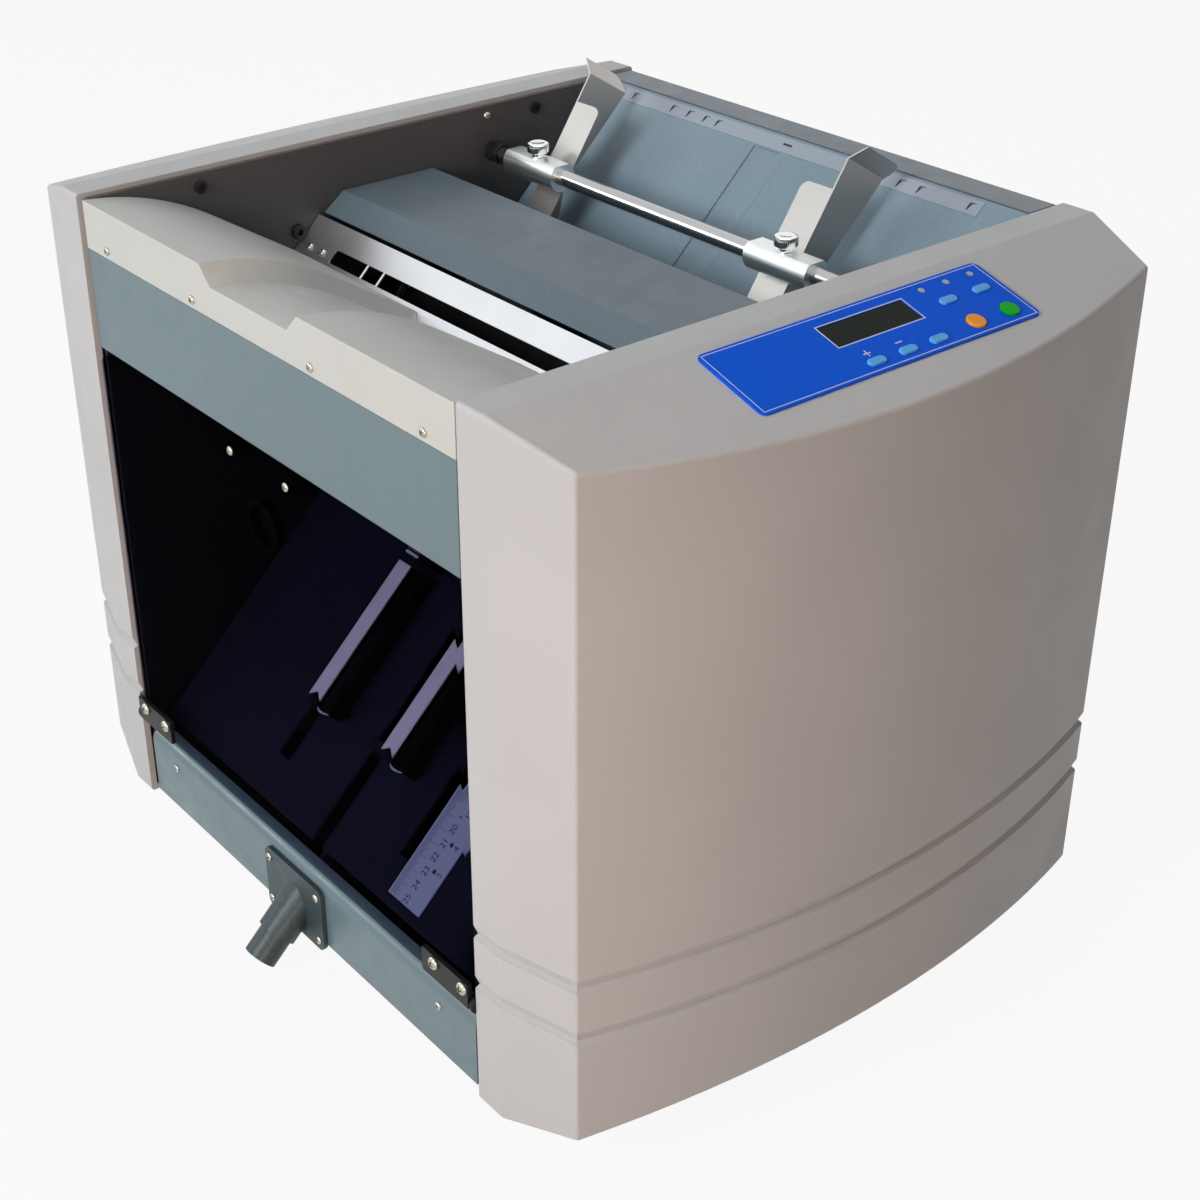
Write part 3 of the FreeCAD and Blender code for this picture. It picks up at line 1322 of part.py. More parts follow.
def side_guide(side):
    """Bent stainless sheet: a side wall, a flange toward the middle and a flared tip."""
    out = 1 if side == "right" else -1
    face = f"guide_{side}_x"

    def across(low, high):
        low, high = f"{face} + ({out}) * ({low})", f"{face} + ({out}) * ({high})"
        return (low, high) if out > 0 else (high, low)

    wall = new_body("guide_wall")
    pad(wall, "x", [("guide_start", "guide_foot"), ("guide_foot_end", "guide_foot"),
                    ("guide_back_start", "guide_back"),
                    ("guide_bend + guide_bend_lean", "guide_back"),
                    ("guide_bend", front_edge("guide_bend")),
                    ("guide_start", front_edge("guide_start"))],
        *across("0", "guide_sheet"), "guide_wall_pad")
    slanted = new_body("guide_flange_sheet")
    pad(slanted, "x", [("guide_flange_start", front_edge("guide_flange_start")),
                       ("guide_flange_start", front_edge("guide_flange_start", "-guide_sheet")),
                       ("guide_flange_end", front_edge("guide_flange_end", "-guide_sheet")),
                       ("guide_flange_end", front_edge("guide_flange_end"))],
        *across("-guide_flange", "0.5 * guide_sheet"), "guide_flange_pad")
    outline = new_body("guide_flange_outline")
    edge, root = f"({face} - ({out}) * guide_flange)", f"({face} + ({out}) * 0.5 * guide_sheet)"
    pad(outline, "z", [(root, "guide_flange_start"), (edge, "guide_flange_start"),
                       (edge, "guide_flange_end - guide_corner", f"({-out}) * guide_corner"),
                       (f"{edge} + ({out}) * guide_corner", "guide_flange_end"),
                       (root, "guide_flange_end")],
        "0", "2 * guide_front_high", "guide_flange_corner")
    flange = shared([slanted, outline], "guide_flange")
    reach = f"({out}) * flare_out"
    slope = [("0", "-0.4"), (f"({out}) * guide_sheet", "-0.4"),
             (f"({out}) * guide_sheet + {reach}", "flare_up"), (reach, "flare_up")]
    flared = new_body("guide_flare_sheet")
    pad(flared, "z", slope if out > 0 else slope[::-1], "0", BEND_LENGTH, "guide_flare_pad")
    outline = new_body("guide_flare_outline")
    pad(outline, "x", [("-1", "0"), ("flare_up - flare_corner", "0", "flare_corner"),
                       ("flare_up", "flare_corner"), ("flare_up", BEND_LENGTH),
                       ("-1", BEND_LENGTH)],
        "-2 * flare_out", "2 * flare_out", "guide_flare_corner")
    tip = shared([flared, outline], "guide_flare")
    turn(tip, BEND_TILT, face, "guide_bend + guide_bend_lean", "guide_back")
    return fuse([wall, flange, tip], f"side_guide_{side}")


for side in ("left", "right"):
    finish(guide_clamp(side), f"guide_clamp_{side}", to_machine)
    finish(clamp_knob(side), f"clamp_knob_{side}", to_machine)
    finish(side_guide(side), f"side_guide_{side}", to_deck)

# ---------------------------------------------------------------- power inlet and switch

INLET_BACK = "(rear_face - inlet_depth)"
inlet_block = fuse([box(("inlet_x - inlet_width / 2", "inlet_x + inlet_width / 2"),
                        (INLET_BACK, "rear_face + inlet_lip"),
                        ("inlet_z - inlet_height / 2", "inlet_z + inlet_height / 2"),
                        "inlet_body"),
                    box(("inlet_x - inlet_width / 2 - inlet_flange",
                         "inlet_x + inlet_width / 2 + inlet_flange"),
                        ("rear_face", "rear_face + inlet_lip"),
                        ("inlet_z - inlet_height / 2 - inlet_flange",
                         "inlet_z + inlet_height / 2 + inlet_flange"), "inlet_rim")],
                   "inlet_block")
SOCKET_X = "(inlet_x - inlet_width / 2 + socket_inset)"
ROCKER_X = "(inlet_x + inlet_width / 2 - rocker_inset)"
ROCKER_Y = "(rear_face + inlet_lip - rocker_sunk)"
INLET_FRONT = "(rear_face + inlet_lip + 1)"
inlet_cuts = [box((f"{SOCKET_X} - socket_width / 2", f"{SOCKET_X} + socket_width / 2"),
                  (f"{INLET_BACK} + socket_floor", INLET_FRONT),
                  ("inlet_z - socket_height / 2", "inlet_z + socket_height / 2"), "plug_socket"),
              box((f"{ROCKER_X} - rocker_width / 2 - slide_gap",
                   f"{ROCKER_X} + rocker_width / 2 + slide_gap"),
                  (f"{ROCKER_Y} - rocker_depth / 2 - 2", INLET_FRONT),
                  ("inlet_z - rocker_height / 2 - 1", "inlet_z + rocker_height / 2 + 1"),
                  "rocker_well")]
blades = [box((f"{SOCKET_X} + {step} * blade_pitch - blade_width / 2",
               f"{SOCKET_X} + {step} * blade_pitch + blade_width / 2"),
              (f"{INLET_BACK} + socket_floor - 1", "rear_face - blade_reach"),
              (f"inlet_z + {rise} * blade_drop - blade_height / 2",
               f"inlet_z + {rise} * blade_drop + blade_height / 2"), "inlet_blade")
          for step, rise in ((-1, -1), (0, 1), (1, -1))]
inlet = fuse([cut(inlet_block, inlet_cuts, "inlet_cut"), *blades], "power_inlet")
finish(inlet, "power_inlet", to_machine)
rocker_block = box(("-rocker_width / 2", "rocker_width / 2"), ("-rocker_depth / 2", "rocker_depth / 2"),
                   ("-rocker_height / 2", "rocker_height / 2"), "rocker_block")
rocker = group([rocker_block], "switch_rocker")
rocker.Placement = FreeCAD.Placement(V(0, 0, 0), FreeCAD.Rotation(V(1, 0, 0), 1))
tie(rocker, Placement__Rotation__Angle="rocker_tilt")
base(rocker, ROCKER_X, f"{ROCKER_Y} - {MIDDLE}", "inlet_z + foot_height")
finish(rocker, "switch_rocker")

# ---------------------------------------------------------------- control panel

KEYS = {"plus": "lower_row", "minus": "lower_row", "clear": "lower_row", "set": "upper_row",
        "enter": "upper_row", "manual": "round_row", "auto": "round_row"}


def key_solid(name, row, grow, low, high):
    """The shape of a key, or of its hole when it is grown."""
    place = f"key_{name}_y"
    if row == "round_row":
        return rod("z", f"round_key_radius + {grow}", low, high, (row, place), f"key_{name}_disc")
    half = f"(key_width / 2 + {grow})"
    ends = "((key_length - key_width) / 2)"
    near, far = f"({place} - {ends})", f"({place} + {ends})"
    body = new_body(f"key_{name}_oval")
    pad(body, "z", [(f"{row} + {half}", near), (f"{row} + {half}", far, half),
                    (row, f"{far} + {half}", half), (f"{row} - {half}", far),
                    (f"{row} - {half}", near, half), (row, f"{near} - {half}", half)],
        low, high, f"key_{name}_pad")
    return body


overlay_body = new_body("overlay_sheet")
pad(overlay_body, "z", rounded_rectangle(("overlay_start", "overlay_end"),
                                         ("overlay_front", "overlay_back"), "overlay_corner"),
    "0", "overlay_thick", "overlay_pad")
lamp_places = [("lamp_row", f"lamp_first_y + {step} * lamp_pitch") for step in range(3)]
overlay_holes = [key_solid(name, row, "slide_gap", "-1", "overlay_thick + 1")
                 for name, row in KEYS.items()]
overlay_holes += [rod("z", "lamp_radius + seat_gap", "-1", "overlay_thick + 1", place, "lamp_hole")
                  for place in lamp_places]
overlay_holes.append(box(("display_start", "display_end"), ("display_front", "display_back"),
                         ("-1", "overlay_thick + 1"), "display_window_cut"))
finish(cut(overlay_body, overlay_holes, "control_overlay"), "control_overlay", to_panel)

finish(box(("well_start - board_margin", "well_end + board_margin"),
           ("well_front - board_margin", "well_back + board_margin"),
           (f"{BOARD_TOP} - board_thick", BOARD_TOP), "control_board"), "control_board", to_panel)
finish(box(("display_start + seat_gap", "display_end - seat_gap"),
           ("display_front + seat_gap", "display_back - seat_gap"),
           (BOARD_TOP, "overlay_thick - display_sunk"), "display_window"), "display_window",
       to_panel)
lamps = [rod("z", "lamp_radius", BOARD_TOP, "overlay_thick", place, "lamp") for place in lamp_places]
finish(group(lamps, "indicator_lamps"), "indicator_lamps", to_panel)
for name, row in KEYS.items():
    key = key_solid(name, row, "0", f"{BOARD_TOP} + key_travel + seat_gap",
                    "overlay_thick + key_rise")
    finish(key, f"key_{name}", to_panel)

# ---------------------------------------------------------------- screw heads

FACE = ("panel_face - screw_head_height", "panel_face")
heads = [rod("y", "screw_head_radius", *FACE, (f"{side} * {x}", "delivery_screw_z"), "face_head")
         for side in (-1, 1) for x in ("delivery_screw_outer", "delivery_screw_inner")]
heads += [rod("y", "screw_head_radius", *FACE, (f"{side} * base_screw_x", "base_screw_z"), "face_head")
          for side in (-1, 1)]
heads += [rod("y", "screw_head_radius", f"{PLATE_FRONT} - screw_head_height", PLATE_FRONT,
              (f"{side} * crank_screw_x", z), "crank_head")
          for side in (-1, 1) for z in ("crank_screw_low", "crank_screw_high")]
for side in (-1, 1):
    for x in ("exit_screw_outer", "exit_screw_inner"):
        head = rod("z", "screw_head_radius", "0", "screw_head_height", name="exit_head")
        head.Placement = FreeCAD.Placement(V(0, 0, 0), FreeCAD.Rotation(V(1, 0, 0), 1))
        tie(head, Placement__Rotation__Angle="deck_slope")
        base(head, f"{side} * {x}", deck_y("exit_screw_station", "exit_lift"),
             deck_z("exit_screw_station", "exit_lift"))
        heads.append(head)
    stud = ("frame_inner - screw_head_height", "frame_inner")
    if side < 0:
        stud = (f"-({stud[1]})", f"-({stud[0]})")
    heads.append(rod("x", "screw_head_radius", *stud, ("stud_y", "stud_z"), "frame_stud"))
finish(group(heads, "panel_screws"), "panel_screws", to_machine)

dark_heads = []
for side in (-1, 1):
    for radius, height, y, z in (
            ("frame_screw_radius", "screw_head_height", "frame_screw_front_y", "frame_screw_z"),
            ("frame_screw_radius", "screw_head_height", "frame_screw_back_y", "frame_screw_z"),
            ("cap_screw_radius", "cap_screw_height", "cap_screw_y", "cap_screw_z")):
        span = (f"frame_inner - {height}", "frame_inner")
        if side < 0:
            span = (f"-({span[1]})", f"-({span[0]})")
        dark_heads.append(rod("x", radius, *span, (y, z), "frame_head"))
finish(group(dark_heads, "frame_screws"), "frame_screws", to_machine)

# ---------------------------------------------------------------- build, check and export

doc.recompute()
for item in doc.Objects:
    if "Invalid" in item.State or "Error" in item.State:
        raise RuntimeError(f"{item.Label} failed: {item.getStatusString()}")
for piece in pieces:
    if piece.Shape.isNull() or not piece.Shape.isValid() or not piece.Shape.Solids:
        raise RuntimeError(f"{piece.Label} has no sound shape")

os.makedirs("parts", exist_ok=True)
for piece in pieces:
    piece.Shape.exportStep(f"parts/{piece.Label}.step")
print(len(pieces), "pieces written")
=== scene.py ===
"""Looks of the paper folding machine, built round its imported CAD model."""
import json
import math

import bmesh
import bpy
from mathutils import Matrix, Vector


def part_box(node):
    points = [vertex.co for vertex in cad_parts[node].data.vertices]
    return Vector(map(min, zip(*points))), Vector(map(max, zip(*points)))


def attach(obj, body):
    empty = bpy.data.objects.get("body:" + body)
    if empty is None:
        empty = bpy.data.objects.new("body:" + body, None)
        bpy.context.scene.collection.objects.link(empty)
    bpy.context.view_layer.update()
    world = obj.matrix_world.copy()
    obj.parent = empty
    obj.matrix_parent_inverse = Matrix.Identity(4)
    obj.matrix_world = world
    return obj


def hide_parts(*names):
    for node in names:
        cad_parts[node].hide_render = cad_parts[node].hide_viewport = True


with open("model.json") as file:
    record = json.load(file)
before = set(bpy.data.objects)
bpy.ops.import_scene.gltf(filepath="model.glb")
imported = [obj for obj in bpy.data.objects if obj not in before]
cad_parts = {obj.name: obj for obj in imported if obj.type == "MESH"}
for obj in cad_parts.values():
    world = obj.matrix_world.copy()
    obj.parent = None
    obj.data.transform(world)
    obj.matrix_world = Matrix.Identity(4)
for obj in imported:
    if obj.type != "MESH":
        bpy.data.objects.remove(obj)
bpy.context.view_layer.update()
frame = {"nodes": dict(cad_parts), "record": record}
record = frame["record"]
scene = bpy.context.scene
scene.view_settings.view_transform = "Standard"

# ------------------------------------------------------------------ places, in millimetres

SLOPE = math.radians(44)                # of the two paper decks
PANEL_SLOPE = math.radians(16.3)        # of the control panel
MIDDLE = 201.296                        # from the covers' front to the middle of the model
FOOT = 20                               # height of the feet
PAINTED_SHADE_HEIGHT = 357                        # the frames' paint is darkened under this height: painted shade behind the window
DECK_START = Vector((0, 27, 67.6))      # lower end of the decks' surface
PANEL_START = Vector((216, 0, 439))     # inner, upper edge of the control panel
ALONG = Vector((0, math.cos(SLOPE), math.sin(SLOPE)))
OUT = Vector((0, -math.sin(SLOPE), math.cos(SLOPE)))


def machine(x, y, z):
    """A place in the machine's own coordinates, as a point of the scene in metres."""
    return Vector((x, y - MIDDLE, z + FOOT)) / 1000


def deck(x, along, out):
    """A place over the paper decks: up the slope, and out from their surface."""
    place = DECK_START + ALONG * along + OUT * out
    return machine(x, place.y, place.z)


def panel(down, y, out):
    """A place over the control panel: down its slope, and out from its surface."""
    turn = Matrix.Rotation(PANEL_SLOPE, 3, "Y")
    place = PANEL_START + turn @ Vector((down, 0, out))
    return machine(place.x, y, place.z)


def axes_matrix(origin, x, y):
    """A matrix whose X and Y axes point along x and y."""
    x, y = x.normalized(), y.normalized()
    turned = Matrix((x, y, x.cross(y))).transposed().to_4x4()
    turned.translation = origin
    return turned


def on_deck(x, along, out):
    """Coordinates over the paper decks, with X to the right and Y up the slope."""
    return axes_matrix(deck(x, along, out), Vector((1, 0, 0)), ALONG)


def on_panel(down, y, out):
    """Coordinates over the control panel, with X to the rear and Y up the slope."""
    up = panel(0, 0, 0) - panel(1, 0, 0)
    return axes_matrix(panel(down, y, out), Vector((0, 1, 0)), up)


# ------------------------------------------------------------------ materials

class Finish:
    """A procedural material: a Principled shader and the nodes that drive it."""

    def __init__(self, name, color, roughness=0.5, metallic=0.0, **inputs):
        self.name = name
        self.material = bpy.data.materials.new(name)
        self.material.use_nodes = True
        self.tree = self.material.node_tree
        self.shader = self.tree.nodes["Principled BSDF"]
        self.color = color
        self.put("Base Color", (*color, 1))
        self.put("Roughness", roughness)
        self.put("Metallic", metallic)
        for socket, value in inputs.items():
            self.put(socket.replace("_", " "), value)
        self.place = self.node("ShaderNodeTexCoord").outputs["Object"]

    def node(self, kind, **settings):
        """A new node with the given settings."""
        made = self.tree.nodes.new(kind)
        for key, value in settings.items():
            setattr(made, key, value)
        return made

    def link(self, source, target):
        self.tree.links.new(source, target)

    def put(self, socket, value):
        """Set or link one of the shader's inputs."""
        if isinstance(value, bpy.types.NodeSocket):
            self.link(value, self.shader.inputs[socket])
        else:
            self.shader.inputs[socket].default_value = value

    def stretched(self, scale):
        """Object coordinates with a scale of their own on each axis."""
        mapping = self.node("ShaderNodeMapping")
        mapping.inputs["Scale"].default_value = scale
        self.link(self.place, mapping.inputs["Vector"])
        return mapping.outputs["Vector"]

    def noise(self, scale, detail=3.0, place=None):
        """Soft noise, in features per metre."""
        made = self.node("ShaderNodeTexNoise")
        made.inputs["Scale"].default_value = scale
        made.inputs["Detail"].default_value = detail
        self.link(place or self.place, made.inputs["Vector"])
        return made.outputs["Fac"]

    def dimples(self, scale):
        """Distance from scattered points, rounded where two of them meet."""
        made = self.node("ShaderNodeTexVoronoi", feature="SMOOTH_F1")
        made.inputs["Scale"].default_value = scale
        self.link(self.place, made.inputs["Vector"])
        return made.outputs["Distance"]

    def spread(self, source, low, high, start=0.3, end=0.7):
        """Map a value from start to end onto low to high."""
        made = self.node("ShaderNodeMapRange")
        for socket, value in (("From Min", start), ("From Max", end), ("To Min", low),
                              ("To Max", high)):
            made.inputs[socket].default_value = value
        self.link(source, made.inputs["Value"])
        return made.outputs["Result"]

    def blend(self, factor, first, second):
        """Mix two colours, each written out or taken from a socket."""
        made = self.node("ShaderNodeMix", data_type="RGBA")
        self.link(factor, made.inputs[0])
        for socket, value in ((made.inputs[6], first), (made.inputs[7], second)):
            if isinstance(value, bpy.types.NodeSocket):
                self.link(value, socket)
            else:
                socket.default_value = (*value, 1)
        return made.outputs[2]

    def vary(self, scale, amount):
        """Let the colour drift a little lighter and darker."""
        pale = tuple(min(1, part * (1 + amount)) for part in self.color)
        dark = tuple(part * (1 - amount) for part in self.color)
        drift = self.spread(self.noise(scale), 0, 1)
        self.put("Base Color", self.blend(drift, dark, pale))

    def polish(self, scale, low, high):
        """Let the roughness drift between two values."""
        self.put("Roughness", self.spread(self.noise(scale, 4), low, high))

    def bump(self, height, strength, distance):
        """Raise the surface by a share of a distance in metres."""
        made = self.node("ShaderNodeBump")
        made.inputs["Strength"].default_value = strength
        made.inputs["Distance"].default_value = distance
        self.link(height, made.inputs["Height"])
        self.put("Normal", made.outputs["Normal"])


def srgb(red, green, blue):
    """Linear colour of a colour that is written as it is seen, 0 to 255."""
    return tuple((part / 255 / 12.92) if part < 11 else ((part / 255 + 0.055) / 1.055) ** 2.4
                 for part in (red, green, blue))


def plastic(name, color, roughness, grain, depth, gloss=0.3):
    """Moulded plastic, rubber, film or print with a fine grain."""
    made = Finish(name, color, roughness, Specular_IOR_Level=gloss)
    made.vary(9, 0.03)
    made.polish(30, roughness - 0.05, roughness + 0.06)
    made.bump(made.noise(grain, 2), 0.35, depth)
    return made


def paint(name, color, roughness, peel=420, speckle=0.05, gloss=0.3):
    """Sprayed paint with small pale flecks and a fine orange peel."""
    made = Finish(name, color, roughness, Specular_IOR_Level=gloss)
    drift = made.spread(made.noise(5, 3), 0, 1)
    pale, dark = (tuple(part * share for part in color) for share in (1.05, 0.95))
    base = made.blend(drift, dark, pale)
    fleck = made.spread(made.noise(1500, 1), 0, 1, 0.62, 0.7)
    spot = tuple(min(1, part * (1 + 4 * speckle) + speckle / 3) for part in color)
    made.put("Base Color", made.blend(fleck, base, spot))
    made.polish(60, roughness - 0.06, roughness + 0.08)
    made.bump(made.noise(peel, 2), 0.3, 0.00006)
    return made


def brushed(name, color, along, roughness):
    """Steel or aluminium with fine lines along one axis: 0, 1 or 2."""
    made = Finish(name, color, roughness, 1.0)
    stretch = [1500.0] * 3
    stretch[along] = 12.0
    grain = made.noise(1.0, 3, place=made.stretched(stretch))
    made.put("Roughness", made.spread(grain, roughness - 0.07, roughness + 0.09))
    made.vary(14, 0.05)
    made.bump(grain, 0.12, 0.00002)
    return made


def hammered(name, color):
    """Hammer finish: dark metallic paint with round pale dimples."""
    made = Finish(name, color, 0.42, 0.1, Specular_IOR_Level=0.35)
    dimples = made.dimples(420)
    pale = tuple(min(1, part * 1.3) for part in color)
    made.put("Base Color", made.blend(made.spread(dimples, 0, 1, 0.1, 0.6), pale, color))
    made.bump(dimples, 0.5, 0.0003)
    return made


def two_tone(name, above, below, height, fade=3):
    """Dull paint with painted shade: darker under a height over the floor."""
    made = paint(name, above, 0.5)
    parts = made.node("ShaderNodeSeparateXYZ")
    made.link(made.place, parts.inputs[0])
    share = made.spread(parts.outputs["Z"], 0, 1, (height - fade) / 1000, (height + fade) / 1000)
    upper = made.shader.inputs["Base Color"].links[0].from_socket
    made.put("Base Color", made.blend(share, below, upper))
    return made


def smoked(name, color):
    """Clear acrylic with a dark tint and hardly any gloss."""
    made = Finish(name, color, 0.0, Transmission_Weight=1.0, IOR=1.01)
    made.vary(3, 0.03)
    return made


def polished(name, color, roughness):
    """Smooth metal with a faint unevenness."""
    made = Finish(name, color, roughness, 1.0)
    made.vary(18, 0.04)
    made.polish(24, roughness - 0.03, roughness + 0.04)
    made.bump(made.noise(30, 2), 0.05, 0.0001)
    return made


FINISHES = {finish.name: finish for finish in (
    plastic("cover_plastic", srgb(193, 193, 194), 0.5, 1300, 0.00012),
    plastic("cream_plastic", srgb(201, 202, 198), 0.42, 900, 0.00004),
    paint("panel_paint", srgb(96, 117, 125), 0.34, gloss=0.6),
    paint("deck_paint", srgb(129, 149, 162), 0.36, 500, 0.08),
    paint("hood_paint", srgb(97, 111, 120), 0.38, 500, 0.06),
    paint("stop_paint", srgb(32, 32, 46), 0.5, 400, 0.01, 0.02),
    paint("rear_paint", srgb(120, 128, 136), 0.42),
    # frame paint with painted shade where the frames stand behind the window
    two_tone("frame_paint", srgb(84, 81, 82), srgb(14, 13, 18), PAINTED_SHADE_HEIGHT),
    hammered("hammer_paint", srgb(52, 66, 70)),
    smoked("smoked_acrylic", (0.4, 0.4, 0.51)),
    plastic("black_plastic", srgb(26, 26, 28), 0.38, 900, 0.00008, gloss=0.2),
    paint("black_steel", srgb(28, 28, 31), 0.35, 300, 0.01),
    plastic("stop_black", srgb(5, 5, 6), 0.2, 500, 0.00001, gloss=0.02),
    plastic("stop_bright", srgb(226, 220, 224), 0.4, 900, 0.00003, gloss=0.2),
    polished("plate_steel", (0.7, 0.71, 0.74), 0.36),
    plastic("ring_black", srgb(6, 6, 7), 0.35, 900, 0.00003, gloss=0.0),
    polished("screw_steel", (0.5, 0.47, 0.4), 0.24),
    polished("rod_steel", (0.5, 0.5, 0.5), 0.14),
    plastic("rubber_black", srgb(40, 40, 41), 0.8, 500, 0.0002),
    brushed("steel", (0.62, 0.61, 0.6), 2, 0.26),
    polished("bright_steel", (0.86, 0.86, 0.86), 0.09),
    polished("guide_steel", (0.42, 0.4, 0.38), 0.4),
    brushed("clamp_aluminium", (0.78, 0.82, 0.81), 0, 0.34),
    plastic("ruler_plate", srgb(168, 179, 196), 0.35, 600, 0.00003),
    plastic("overlay_blue", srgb(13, 95, 234), 0.4, 700, 0.00003, gloss=0.05),
    plastic("display_dark", srgb(26, 34, 25), 0.2, 200, 0.00001, gloss=0.05),
    plastic("lamp_plastic", srgb(168, 176, 192), 0.25, 300, 0.00002),
    plastic("key_blue", srgb(96, 180, 252), 0.35, 500, 0.00003, gloss=0.15),
    plastic("key_orange", srgb(255, 162, 54), 0.35, 500, 0.00003, gloss=0.15),
    plastic("key_green", srgb(0, 178, 5), 0.35, 500, 0.00003, gloss=0.1),
    plastic("board_green", srgb(20, 90, 50), 0.4, 300, 0.00003),
    plastic("mark_film", srgb(158, 168, 180), 0.4, 600, 0.00002),
    # white for print, and for the painted highlights on the stops' tongues and the ruler's edge
    plastic("white_print_and_highlights", srgb(206, 216, 232), 0.5, 800, 0.00001),
    plastic("dark_print", srgb(42, 44, 56), 0.5, 800, 0.00001),
    plastic("red_print", srgb(150, 40, 50), 0.5, 800, 0.00001),
)}

# ------------------------------------------------------------------ dressing the CAD nodes

SLOT_OF = {entry["node"]: entry["material_slot"] for entry in record["subparts"]}
BODY_OF = {node: body for body, nodes in record["behaviour"]["bodies"].items() for node in nodes}

# the nodes whose finish has another name than their material slot
LOOKS = {
    "hood": "hood_paint", "stop_plate": "stop_paint", "rear_panel": "rear_paint",
    "exit_plate": "plate_steel", "stop_brackets": "stop_black", "guide_rod": "rod_steel",
    "stop_strips": "stop_bright", "stop_carriage": "stop_black", "lead_screw": "black_steel",
    "finger_ring": "ring_black", "tie_bars": "ring_black", "base_pan": "ring_black",
    "door_catch": "ring_black", "window_door": "smoked_acrylic",
    "side_guide_left": "guide_steel", "side_guide_right": "guide_steel",
}

# how wide the edges of each node are rounded, in millimetres
EDGES = {
    "front_base_panel": 0.5, "upper_front_panel": 0.5, "rear_panel": 0.5, "hood": 0.6,
    "delivery_cover": 1.0, "exit_plate": 0.3, "feed_plate": 0.5, "stop_plate": 0.4, "base_pan": 0.4,
    "side_frame_left": 0.4, "side_frame_right": 0.4, "tie_bars": 0.6, "window_door": 0.7,
    "finger_ring": 0.5, "window_hinges": 0.5, "door_catch": 0.5, "crank_bracket": 0.5,
    "lead_screw": 0.3, "stop_carriage": 0.5, "stop_brackets": 0.4, "stop_strips": 0.3,
    "guide_rod": 0.5, "rod_bushes": 0.5, "guide_clamp_left": 0.4, "guide_clamp_right": 0.4,
    "side_guide_left": 0.3, "side_guide_right": 0.3, "ruler": 0.2, "mark_strip": 0.1,
    "control_overlay": 0.2, "display_window": 0.1, "indicator_lamps": 0.5, "control_board": 0.2,
    "key_plus": 0.7, "key_minus": 0.7, "key_clear": 0.7, "key_set": 0.7, "key_enter": 0.7,
    "key_manual": 0.9, "key_auto": 0.9, "fold_roller_front": 0.6, "fold_roller_rear": 0.6,
    "roller_bearings": 0.4, "roller_gear_front": 0.2, "roller_gear_rear": 0.2,
    "drive_pinion": 0.2, "drive_motor": 0.8, "fold_knife": 0.2, "knife_guides": 0.5,
    "stapler_heads": 0.8, "power_inlet": 0.4, "switch_rocker": 0.6, "rubber_feet": 1.5,
}
WIDE_EDGE = 0.6         # wider edges than this are rounded in three steps, and the others in two
SHARP_ANGLE = 32        # edges that bend less are shaded smooth
BEVEL_ANGLE = 34        # edges that bend more are rounded
FLAT_ANGLE = 0.4        # faces that bend less are one face
WELD = 2e-6             # corners that lie closer are one corner, in metres


def mesh_of(shape, name):
    """The mesh of a bmesh, which is used up."""
    mesh = bpy.data.meshes.new(name)
    shape.to_mesh(mesh)
    shape.free()
    return mesh


def placed(name, data):
    """A new object in the scene."""
    item = bpy.data.objects.new(name, data)
    scene.collection.objects.link(item)
    return item


def worked_out(item):
    """The mesh of an object, with its modifiers or its letters worked out."""
    bpy.context.view_layer.update()
    graph = bpy.context.evaluated_depsgraph_get()
    return bpy.data.meshes.new_from_object(item.evaluated_get(graph))


def smooth(mesh, angle=SHARP_ANGLE):
    mesh.shade_smooth()
    mesh.set_sharp_from_angle(angle=math.radians(angle))


def new_piece(name, mesh, body, finish):
    """A piece that moves with a body of the CAD."""
    piece = placed(name, mesh)
    mesh.materials.append(FINISHES[finish].material)
    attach(piece, body)
    return piece


def cleaned(node):
    """A bmesh of a CAD node with its flat faces whole."""
    shape = bmesh.new()
    shape.from_mesh(frame["nodes"][node].data)
    bmesh.ops.remove_doubles(shape, verts=shape.verts, dist=WELD)
    bmesh.ops.dissolve_limit(shape, angle_limit=math.radians(FLAT_ANGLE), verts=shape.verts,
                             edges=shape.edges)
    return shape


def dress(node, width):
    """Replace a CAD node by the same shape with softly rounded edges."""
    mesh = mesh_of(cleaned(node), node + "_dressed")
    smooth(mesh)
    piece = new_piece(mesh.name, mesh, BODY_OF[node], LOOKS.get(node, SLOT_OF[node]))
    bevel = piece.modifiers.new("edges", "BEVEL")
    bevel.width = width / 1000
    bevel.segments = 3 if width > WIDE_EDGE else 2
    bevel.limit_method = "ANGLE"
    bevel.angle_limit = math.radians(BEVEL_ANGLE)
    bevel.harden_normals = True
    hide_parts(node)


for node, width in EDGES.items():
    dress(node, width)
for node in ("side_cover_left", "side_cover_right"):
    for place in frame["nodes"][node].material_slots:
        place.material = FINISHES["cover_plastic"].material

# ------------------------------------------------------------------ solids


def circle(radius, turns):
    """Points round the origin, anticlockwise from the X axis."""
    return [(radius * math.cos(2 * math.pi * step / turns),
             radius * math.sin(2 * math.pi * step / turns)) for step in range(turns)]


def bridge(shape, low, high):
    """Faces between two rings of as many corners, one of which may be a single point."""
    turns = max(len(low), len(high))
    for step in range(turns):
        after = (step + 1) % turns
        if len(low) == 1:
            corners = (low[0], high[after], high[step])
        elif len(high) == 1:
            corners = (low[step], low[after], high[0])
        else:
            corners = (low[step], low[after], high[after], high[step])
        shape.faces.new(corners)


def closed(shape, rings):
    """Join rings of corners to a solid with an end face on the first and the last."""
    for low, high in zip(rings, rings[1:]):
        bridge(shape, low, high)
    shape.faces.new(rings[0][::-1])
    shape.faces.new(rings[-1])
    return shape


def lathe(profile, turns=32):
    """A closed solid of revolution about Z from (radius, height) pairs, from axis to axis."""
    shape = bmesh.new()
    rings = [[shape.verts.new((x, y, height)) for x, y in circle(radius, turns if radius else 1)]
             for radius, height in profile]
    for low, high in zip(rings, rings[1:]):
        bridge(shape, low, high)
    bmesh.ops.recalc_face_normals(shape, faces=shape.faces)
    return shape


# ------------------------------------------------------------------ screws and knobs


